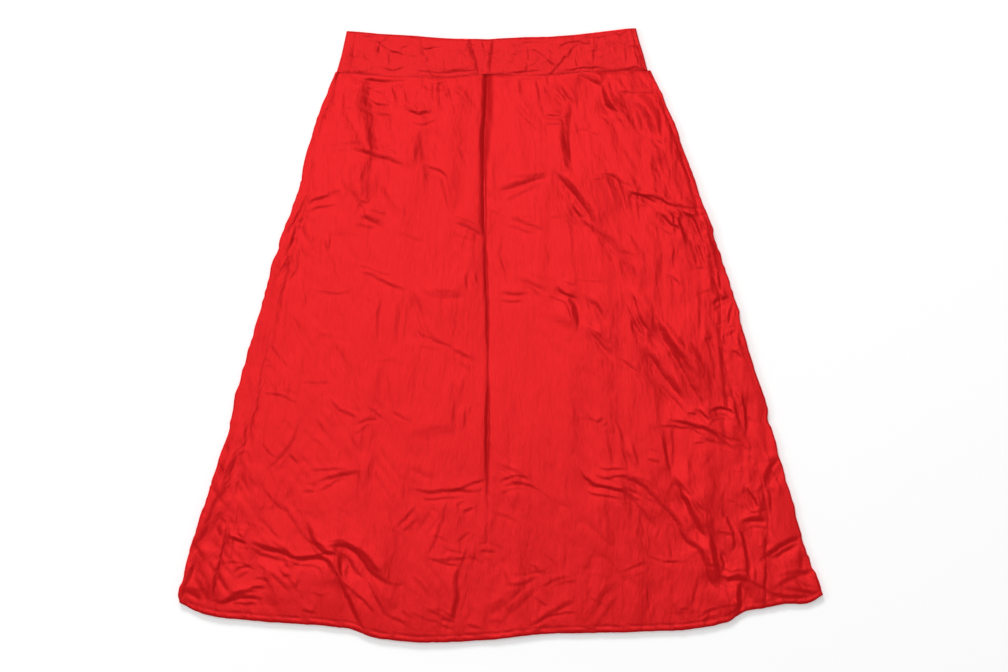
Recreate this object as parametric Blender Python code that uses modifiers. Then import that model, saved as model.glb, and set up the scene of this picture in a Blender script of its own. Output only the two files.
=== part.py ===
"""A satin a-line skirt, laid flat on its back with the front up and the waist towards +Y.

Each piece is an open sheet of cloth laid through the sections below, which then gets its wall.
The back is cut in one piece. It lies underneath, rolls round both side folds, and ends on the
front at the side seams. The two halves of the front meet at a centre seam. The straight
waistband is cut as a front and a back, which meet in the same way.

All sizes are in millimetres until a mesh is written, and X runs to the right of the front.
"""
import bmesh
import bpy
import numpy as np

MM = 0.001
GARMENT_NAME = "a_line_skirt"

CLOTH_WALL = 1.2        # one layer of satin, with the air in its creases
HEM_WALL = 1.8          # the same layer where the hem is turned up
HEM_DEPTH = 8.0
HEM_STEP = 2.0          # the wall thickens over this height above the hem
BAND_WALL = 2.0         # two layers of satin and the stiffener between them
SEAM_GAP = 0.3
WAIST_GAP = 0.5         # the thicker band leans over its seam at the side folds

FOLD_HEIGHT = 6.4       # how high a side fold stands where the cloth rolls over
BAND_HEIGHT = 5.4       # top of the waistband's front
EDGE_HEIGHT = 4.8       # top of the front panels at the hem and at the waist seam
PANEL_RISE = 1.0        # how much higher the middle of the front lies
RISE_REACH = 28.0       # how far from those edges the rise needs
SEAM_DIP = 0.8          # the cloth dips this much at a seam
SEAM_HOLD = 0.5         # share of a fold's height that a seam holds down
SEAM_REACH = 9.0
FOLD_END_SWELL = 0.12   # part of the half wave by which a fold swells and fades along its line
LOWEST_FRONT = 3.9      # a trough in the front stays clear of the back

PANEL_ROWS = 42
BAND_ROWS = 3
FRONT_COLUMNS = 20      # across one half of the front
BAND_COLUMNS = 30
FLAP_COLUMNS = 3
ROLL_STEPS = 6
UNDERSIDE_COLUMNS = 14
EDGE_ROUNDS = 12        # rounds that find where a line of the cloth meets its edges

SATIN_RED = (0.745, 0.016, 0.021, 1.0)
BAND_RED = (0.780, 0.018, 0.024, 1.0)
SATIN_ROUGHNESS = 0.42

# Sections across the panels: height up the skirt, then where each line crosses it.
# y, left fold, left side seam, centre seam, right side seam, right fold
PANEL_SECTIONS = [
    (330, -203.5, -198.5, -17.0, 181.0, 185.5),
    (292, -218.9, -211.0, -17.5, 198.0, 204.0),
    (247, -235.0, -226.5, -20.0, 216.5, 221.5),
    (173, -254.0, -239.5, -21.0, 240.0, 248.5),
    (100, -279.5, -257.5, -19.0, 260.5, 272.5),
    (40, -295.5, -273.0, -17.0, 272.5, 293.0),
    (-20, -313.0, -286.5, -16.0, 276.0, 308.5),
    (-80, -330.5, -299.5, -16.0, 290.5, 327.5),
    (-125, -339.5, -313.0, -16.5, 305.5, 339.0),
    (-170, -355.5, -325.5, -17.0, 319.0, 353.0),
    (-215, -370.0, -334.0, -17.0, 331.0, 365.5),
    (-260, -384.0, -342.5, -16.5, 330.5, 377.0),
    (-290, -391.5, -349.0, -16.0, 330.0, 388.5),
    (-320, -400.0, -355.0, -15.0, 329.0, 400.0),
]

# Sections across the waistband.
# y, left fold, left seam, right seam, right fold
BAND_SECTIONS = [
    (382, -190.0, -179.0, 162.5, 168.0),
    (366, -193.5, -181.0, 166.5, 172.0),
    (350, -197.0, -183.0, 171.5, 177.0),
    (325, -204.0, -188.0, 178.0, 183.5),
]

# x, y along the top of the waistband
BAND_TOP = [(-190, 377.5), (-105, 371.5), (-30, 367.7), (29, 370.0), (89, 372.6), (133, 377.6),
            (162, 380.8), (169, 380.8)]

# x, y along the waist seam
WAIST_SEAM = [(-205, 327), (-158, 323), (-73, 320.5), (-25, 324), (20, 323), (61, 324), (105, 327),
              (160, 328.5), (187, 329)]

# x, y along the hem
HEM_LINE = [(-400, -330.5), (-373, -344), (-313, -353), (-209, -361.5), (-180, -366), (-164, -373),
            (-128, -378.5), (-85, -381), (-40, -379.3), (0, -376.3), (44, -371.4), (163, -368), (237, -364),
            (272, -358), (285, -354), (293, -347.5), (327, -338), (356, -333), (386, -330.5), (400, -322)]

# The largest folds and troughs of the front, each on a line from its first point to its second.
# x1, y1, x2, y2, bow to the line's right, half width, height
FOLDS = [
    # Yoke and left half
    (-168, 318, -169, 228, 0, 14, -2.0),
    (-170, 215, -168, 140, 0, 14, -2.2),
    (-198, 300, -225, 150, 0, 22, 2.2),
    (-110, 276, -85, 276, 4, 12, -1.4),
    (-90, 205, -68, 150, 0, 14, -1.2),
    (-60, 142, -24, 122, 0, 14, -1.6),
    (-178, 80, -110, 55, 0, 13, -2.0),
    (-110, 55, -78, -12, 4, 13, -2.2),
    (-100, 78, -50, 40, 0, 20, 2.4),
    (-62, -15, -24, -32, 0, 13, -1.8),
    (-240, 172, -198, 182, 0, 12, 2.1),
    (-205, -92, -160, -104, 6, 13, -1.8),
    (-168, -105, -170, -190, 0, 13, -1.6),
    (-215, -178, -178, -170, 0, 13, -2.0),
    (-210, -160, -165, -152, 0, 16, 2.7),
    (-322, -100, -337, -195, -4, 13, -2.0),
    (-318, -175, -298, -225, 0, 14, -1.6),
    # Foot of the left half
    (-300, -243, -215, -262, 0, 15, 4.8),
    (-305, -257, -218, -279, 4, 12, -2.6),
    (-218, -279, -172, -366, 6, 12, -2.6),
    (-206, -285, -174, -356, 0, 11, 5.1),
    (-238, -238, -212, -272, 0, 12, -2.2),
    (-228, -222, -138, -292, 0, 14, 4.8),
    (-208, -258, -148, -302, -10, 12, -2.6),
    (-130, -238, -100, -210, 0, 14, -1.6),
    (-88, -190, -24, -196, 0, 15, -1.6),
    (-88, -277, -50, -288, 0, 12, -1.8),
    (-52, -288, -62, -356, 0, 12, -2.2),
    (-30, -240, -44, -345, 0, 15, 3.0),
    # Yoke and upper right half
    (72, 316, 88, 204, 8, 14, -2.2),
    (80, 200, 150, 92, 0, 15, -2.4),
    (0, 184, 56, 198, 4, 13, -1.6),
    (100, 305, 185, 130, 0, 22, 3.3),
    (122, 312, 130, 282, 0, 12, -2.0),
    (160, 299, 226, 165, 6, 15, -2.4),
    (200, 285, 250, 160, 0, 13, 2.4),
    (146, 200, 154, 172, 0, 12, -1.6),
    (152, 178, 246, 158, -4, 12, 3.6),
    (190, 158, 226, 134, 0, 12, -1.8),
    (226, 166, 262, 84, 8, 12, 4.5),
    (236, 150, 252, 78, 6, 12, -2.2),
    (28, 70, 100, 52, 0, 14, -1.8),
    (92, 50, 130, -18, 4, 14, -1.8),
    # The pair of long folds below the right hip
    (156, 52, 238, -92, 4, 12, -2.6),
    (172, 48, 248, -84, 4, 12, 5.7),
    (192, 22, 256, -92, 0, 12, -2.4),
    (212, 30, 262, -70, 0, 14, 3.3),
    (262, -10, 292, -92, 0, 12, 2.7),
    (210, -104, 306, -140, 10, 12, -2.2),
    (214, -92, 300, -122, 12, 12, 3.9),
    (300, -80, 304, -126, 0, 12, -1.8),
    # Foot of the right half
    (0, -165, 36, -178, 0, 14, -1.6),
    (8, -186, 42, -190, 0, 12, -1.6),
    (128, -100, 158, -172, 0, 12, -2.0),
    (146, -112, 168, -168, 0, 12, 3.3),
    (100, -172, 186, -224, 8, 13, -2.2),
    (122, -160, 208, -206, 8, 13, 4.2),
    (160, -180, 214, -214, 0, 12, -2.0),
    (206, -150, 232, -208, 0, 13, -2.2),
    (204, -214, 262, -312, 10, 12, -2.8),
    (222, -206, 270, -296, 10, 12, 6.3),
    (240, -200, 288, -302, 0, 12, -2.8),
    (286, -236, 302, -298, 4, 12, 4.8),
    (300, -240, 310, -300, 4, 12, -2.2),
    (296, -305, 291, -345, 0, 11, -2.8),
    (302, -184, 322, -218, 0, 12, 4.2),
    (306, -226, 326, -226, 0, 12, -2.2),
    (-10, -341, 52, -300, -4, 13, -2.2),
    (6, -352, 78, -312, -4, 15, 3.3),
    (40, -357, 92, -326, 0, 12, -1.8),
    (108, -350, 140, -304, 0, 14, -1.8),
    # Side folds, on the back's own cloth
    (-384, -262, -372, -334, 8, 12, -2.2),
    (340, -262, 374, -250, 0, 12, -2.4),
    (346, -276, 382, -268, 0, 13, 4.2),
    (346, -304, 388, -292, 0, 12, -2.2),
    (352, -314, 386, -312, 0, 12, 3.6),
    (266, 44, 286, 50, 0, 11, -1.8),
]


def smooth(table, at):
    """The values at the stations `at`, on a smooth curve through rows of (station, value)."""
    stations, values = np.array(sorted(table), dtype=float).T
    slopes = np.gradient(values, stations)
    at = np.clip(at, stations[0], stations[-1])
    row = np.clip(np.searchsorted(stations, at) - 1, 0, len(stations) - 2)
    span = stations[row + 1] - stations[row]
    t = (at - stations[row]) / span
    start = (1 + 2 * t) * (1 - t) ** 2 * values[row] + t * (1 - t) ** 2 * span * slopes[row]
    end = t ** 2 * (3 - 2 * t) * values[row + 1] + t ** 2 * (t - 1) * span * slopes[row + 1]
    return start + end


def line_of(sections, column):
    """A function that gives where one line of a section table lies at each height."""
    table = [(row[0], row[column]) for row in sections]
    return lambda y: smooth(table, y)


LEFT_FOLD, LEFT_SEAM, CENTRE_SEAM, RIGHT_SEAM, RIGHT_FOLD = (
    line_of(PANEL_SECTIONS, column) for column in range(1, 6))
BAND_LEFT_FOLD, BAND_LEFT_SEAM, BAND_RIGHT_SEAM, BAND_RIGHT_FOLD = (
    line_of(BAND_SECTIONS, column) for column in range(1, 5))


def band_top(x):
    return smooth(BAND_TOP, x)


def above_waist_seam(x):
    return smooth(WAIST_SEAM, x) + WAIST_GAP / 2


def below_waist_seam(x):
    return smooth(WAIST_SEAM, x) - WAIST_GAP / 2


def hem_line(x):
    return smooth(HEM_LINE, x)


def fold_height(x, y, fold):
    """How much one fold lifts the cloth at (x, y): a soft bump along its bowed line."""
    x1, y1, x2, y2, bow, half_width, height = fold
    length = np.hypot(x2 - x1, y2 - y1)
    along_x, along_y = (x2 - x1) / length, (y2 - y1) / length
    distance = (x - x1) * along_x + (y - y1) * along_y
    along = np.clip(distance / length, 0.0, 1.0)
    beyond = distance - along * length
    across = (x - x1) * along_y - (y - y1) * along_x - bow * 4 * along * (1 - along)
    swell = np.sin(np.pi * (FOLD_END_SWELL + (1 - 2 * FOLD_END_SWELL) * along))
    return height * swell * np.exp(-(across ** 2 + beyond ** 2) / half_width ** 2)


def front_height(x, y):
    """Height of the outer face of the front, with its rise, hem, seam dips and folds."""
    from_waist = np.abs(y - smooth(WAIST_SEAM, x))
    from_hem = np.abs(y - hem_line(x))
    on_panel = y < smooth(WAIST_SEAM, x)
    rise = PANEL_RISE * (1 - np.exp(-np.minimum(from_waist, from_hem) / RISE_REACH))
    turned_hem = np.where(from_hem < HEM_DEPTH + HEM_STEP / 2, HEM_WALL - CLOTH_WALL, 0.0)
    flat = np.where(on_panel, EDGE_HEIGHT + rise + turned_hem, BAND_HEIGHT)
    centre = np.where(on_panel, np.abs(x - CENTRE_SEAM(y)), from_waist)
    sides = np.minimum(np.abs(x - LEFT_SEAM(y)), np.abs(x - RIGHT_SEAM(y)))
    nearest_seam = np.minimum(np.minimum(from_waist, centre), sides)
    seam = np.exp(-(nearest_seam / SEAM_REACH) ** 2)
    folds = sum(fold_height(x, y, fold) for fold in FOLDS)
    return np.maximum(flat - SEAM_DIP * seam + folds * (1 - SEAM_HOLD * seam), LOWEST_FRONT)


def column_of(line, top, bottom, rows, has_hem):
    """Points down one line of the cloth, from the edge top(x) to the edge bottom(x)."""
    upper, lower = top(line(0.0)), bottom(line(0.0))
    for _ in range(EDGE_ROUNDS):
        upper = top(line(upper))
        lower = bottom(line(lower))
    if has_hem:
        body = np.linspace(upper, lower + HEM_DEPTH + HEM_STEP, rows)
        y = np.concatenate([body, [lower + HEM_DEPTH, lower]])
    else:
        y = np.linspace(upper, lower, rows)
    return line(y), y


def between(left, right, share):
    """The line that lies a share of the way from the left line to the right one."""
    return lambda y: left(y) + (right(y) - left(y)) * share


def moved(line, distance):
    return lambda y: line(y) + distance


def cloth_grid(lines, heights, top, bottom, rows, has_hem):
    """Points of a sheet, one column for each line, at the heights that its function gives."""
    grid = []
    for line, height in zip(lines, heights):
        x, y = column_of(line, top, bottom, rows, has_hem)
        grid.append(np.stack([x, y, height(x, y)], axis=1))
    return np.array(grid)


def front_grid(left, right, columns, top, bottom, rows, has_hem):
    """A piece of the front between two seams, each half a seam gap away."""
    left, right = moved(left, SEAM_GAP / 2), moved(right, -SEAM_GAP / 2)
    lines = [between(left, right, share) for share in np.linspace(0.0, 1.0, columns + 1)]
    return cloth_grid(lines, [front_height] * len(lines), top, bottom, rows, has_hem)


def wrapped_grid(folds, seams, top, bottom, rows, has_hem):
    """A piece of the back: flap, side fold, underside, side fold and flap, from seam to seam."""
    radius = FOLD_HEIGHT / 2
    lines, heights = [], []

    def flap(fold, seam, side, shares):
        inner_fold = moved(fold, -side * radius)
        edge = moved(seam, side * SEAM_GAP / 2)
        for share in shares:
            ease = share * share * (3 - 2 * share)
            lines.append(between(inner_fold, edge, share))
            heights.append(lambda x, y, ease=ease: FOLD_HEIGHT + (front_height(x, y) - FOLD_HEIGHT) * ease)

    def roll(fold, side, angles):
        for angle in angles:
            lines.append(moved(fold, -side * radius * (1 - np.cos(angle))))
            heights.append(lambda x, y, angle=angle: radius * (1 + np.sin(angle)) + 0 * x)

    steps = np.linspace(0.0, 1.0, FLAP_COLUMNS + 1)[1:]
    turn = np.linspace(np.pi / 2, -np.pi / 2, ROLL_STEPS + 1)
    flap(folds[0], seams[0], -1, steps[::-1])
    roll(folds[0], -1, turn)
    inner = [moved(folds[0], radius), moved(folds[1], -radius)]
    for share in np.linspace(0.0, 1.0, UNDERSIDE_COLUMNS + 1)[1:-1]:
        lines.append(between(inner[0], inner[1], share))
        heights.append(lambda x, y: 0 * x)
    roll(folds[1], 1, turn[::-1])
    flap(folds[1], seams[1], 1, steps)
    # Taken from the right seam round to the left one, the sheet faces outwards.
    return cloth_grid(lines, heights, top, bottom, rows, has_hem)[::-1]


def cloth_material(name, colour):
    material = bpy.data.materials.new(name)
    material.use_nodes = True
    shader = material.node_tree.nodes["Principled BSDF"]
    shader.inputs["Base Color"].default_value = colour
    shader.inputs["Roughness"].default_value = SATIN_ROUGHNESS
    shader.inputs["Metallic"].default_value = 0.0
    return material


def make_piece(name, grid, wall, material, collection, hem_wall=None):
    """Lay a grid of squares through the points, and give the sheet its wall on its inner side."""
    columns, rows = grid.shape[0] - 1, grid.shape[1] - 1
    sheet = bmesh.new()
    bmesh.ops.create_grid(sheet, x_segments=columns, y_segments=rows, size=0.5)
    hem_indices = []
    for vert in sheet.verts:
        column = round((vert.co.x + 0.5) * columns)
        row = round((0.5 - vert.co.y) * rows)
        vert.co = grid[column, row] * MM
        if hem_wall and row >= rows - 1:
            hem_indices.append(vert.index)
    mesh = bpy.data.meshes.new(name)
    sheet.to_mesh(mesh)
    sheet.free()
    mesh.shade_smooth()
    mesh.materials.append(material)
    piece = bpy.data.objects.new(name, mesh)
    collection.objects.link(piece)
    thicken = piece.modifiers.new("Wall", "SOLIDIFY")
    thicken.thickness = (hem_wall or wall) * MM
    thicken.offset = -1.0
    thicken.use_even_offset = True
    if hem_wall:
        group = piece.vertex_groups.new(name="Hem")
        group.add(hem_indices, 1.0, "REPLACE")
        thicken.vertex_group = group.name
        thicken.thickness_vertex_group = wall / hem_wall
    return piece


def build_skirt():
    for old in list(bpy.data.objects):
        bpy.data.objects.remove(old, do_unlink=True)
    collection = bpy.data.collections.new(GARMENT_NAME)
    bpy.context.scene.collection.children.link(collection)
    satin = cloth_material("Red_satin", SATIN_RED)
    band_satin = cloth_material("Red_satin_doubled", BAND_RED)

    fronts = [("front_left_panel", LEFT_SEAM, CENTRE_SEAM), ("front_right_panel", CENTRE_SEAM, RIGHT_SEAM)]
    for name, left, right in fronts:
        grid = front_grid(left, right, FRONT_COLUMNS, below_waist_seam, hem_line, PANEL_ROWS, True)
        make_piece(name, grid, CLOTH_WALL, satin, collection, HEM_WALL)

    grid = wrapped_grid([LEFT_FOLD, RIGHT_FOLD], [LEFT_SEAM, RIGHT_SEAM], below_waist_seam, hem_line,
                        PANEL_ROWS, True)
    make_piece("back_panel", grid, CLOTH_WALL, satin, collection, HEM_WALL)

    grid = front_grid(BAND_LEFT_SEAM, BAND_RIGHT_SEAM, BAND_COLUMNS, band_top, above_waist_seam,
                      BAND_ROWS + 1, False)
    make_piece("waistband_front", grid, BAND_WALL, band_satin, collection)
    grid = wrapped_grid([BAND_LEFT_FOLD, BAND_RIGHT_FOLD], [BAND_LEFT_SEAM, BAND_RIGHT_SEAM], band_top,
                        above_waist_seam, BAND_ROWS + 1, False)
    make_piece("waistband_back", grid, BAND_WALL, band_satin, collection)


build_skirt()
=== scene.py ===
"""A red satin a-line skirt, laid flat with its front up and its waist towards +Y.

Sizes are in millimetres until a mesh is written, and X runs to the right of the front.
"""
import math

import bpy
import numpy as np
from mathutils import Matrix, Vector
from mathutils.bvhtree import BVHTree


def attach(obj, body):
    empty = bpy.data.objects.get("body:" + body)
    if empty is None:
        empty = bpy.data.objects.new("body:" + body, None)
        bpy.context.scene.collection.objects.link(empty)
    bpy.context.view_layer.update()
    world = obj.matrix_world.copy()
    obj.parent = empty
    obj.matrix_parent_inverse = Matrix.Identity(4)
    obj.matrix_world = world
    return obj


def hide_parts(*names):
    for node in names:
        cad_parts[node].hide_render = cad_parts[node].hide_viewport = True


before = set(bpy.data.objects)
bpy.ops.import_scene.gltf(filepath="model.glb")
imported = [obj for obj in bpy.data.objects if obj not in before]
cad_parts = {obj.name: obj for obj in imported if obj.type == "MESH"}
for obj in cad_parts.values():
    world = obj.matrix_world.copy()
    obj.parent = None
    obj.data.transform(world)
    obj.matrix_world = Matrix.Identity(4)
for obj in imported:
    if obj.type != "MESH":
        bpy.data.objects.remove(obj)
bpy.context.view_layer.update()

# Front left panel
# Half of the front, from the left side seam to the centre seam, cut from one layer of red satin.
# It is sewn to the band above, turned up 8 mm at the hem, and lies creased on the back.

MM = 0.001
SATIN_WALL = 0.4
HEM_DEPTH = 8.0
STITCH_INSET = 0.5      # the hem's stitches lie this far inside the top of its turning
SEAM_GAP = 0.05         # what shows between two pieces that are sewn together
WAIST_GAP = 0.08
PANEL_TOP = 6.2         # height of the front where it lies plain
HEM_TOP = 4.6
LOWEST_FRONT = 1.9      # a trough in the front stays clear of the back
RISE_REACH = 55.0       # how far from the hem and the waist the cloth needs to rise
LINE_WAVES = (1.2, 1.3, 0.5, 1.6, 1.9)      # how wavy each line of the next table is

# y, left fold, left side seam, centre seam, right side seam, right fold
PANEL_SECTIONS = [
    (330, -203.5, -198.5, -17.0, 181.0, 185.5),
    (292, -218.9, -211.0, -17.5, 198.0, 204.0),
    (247, -235.0, -226.5, -20.0, 216.5, 221.5),
    (173, -254.0, -239.5, -21.0, 240.0, 248.5),
    (100, -279.5, -257.5, -19.0, 260.5, 272.5),
    (40, -295.5, -273.0, -17.0, 272.5, 293.0),
    (-20, -313.0, -286.5, -16.0, 276.0, 308.5),
    (-80, -330.5, -299.5, -16.0, 290.5, 327.5),
    (-125, -339.5, -313.0, -16.5, 305.5, 339.0),
    (-170, -355.5, -325.5, -17.0, 319.0, 353.0),
    (-215, -370.0, -334.0, -17.0, 331.0, 365.5),
    (-260, -384.0, -342.5, -16.5, 330.5, 377.0),
    (-290, -391.5, -349.0, -16.0, 330.0, 388.5),
    (-320, -400.0, -355.0, -15.0, 329.0, 400.0),
]

# x, y along the waist seam
WAIST_SEAM = [(-205, 327), (-158, 323), (-73, 320.5), (-25, 324), (20, 323), (61, 324), (105, 327),
              (160, 328.5), (187, 329)]

# x, y along the hem
HEM_LINE = [(-400, -330.5), (-373, -344), (-313, -353), (-209, -361.5), (-180, -366), (-164, -373),
            (-128, -378.5), (-85, -381), (-40, -379.3), (0, -376.3), (44, -371.4), (163, -368), (237, -364),
            (272, -358), (285, -354), (293, -347.5), (327, -338), (356, -333), (386, -330.5), (400, -322)]

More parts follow.
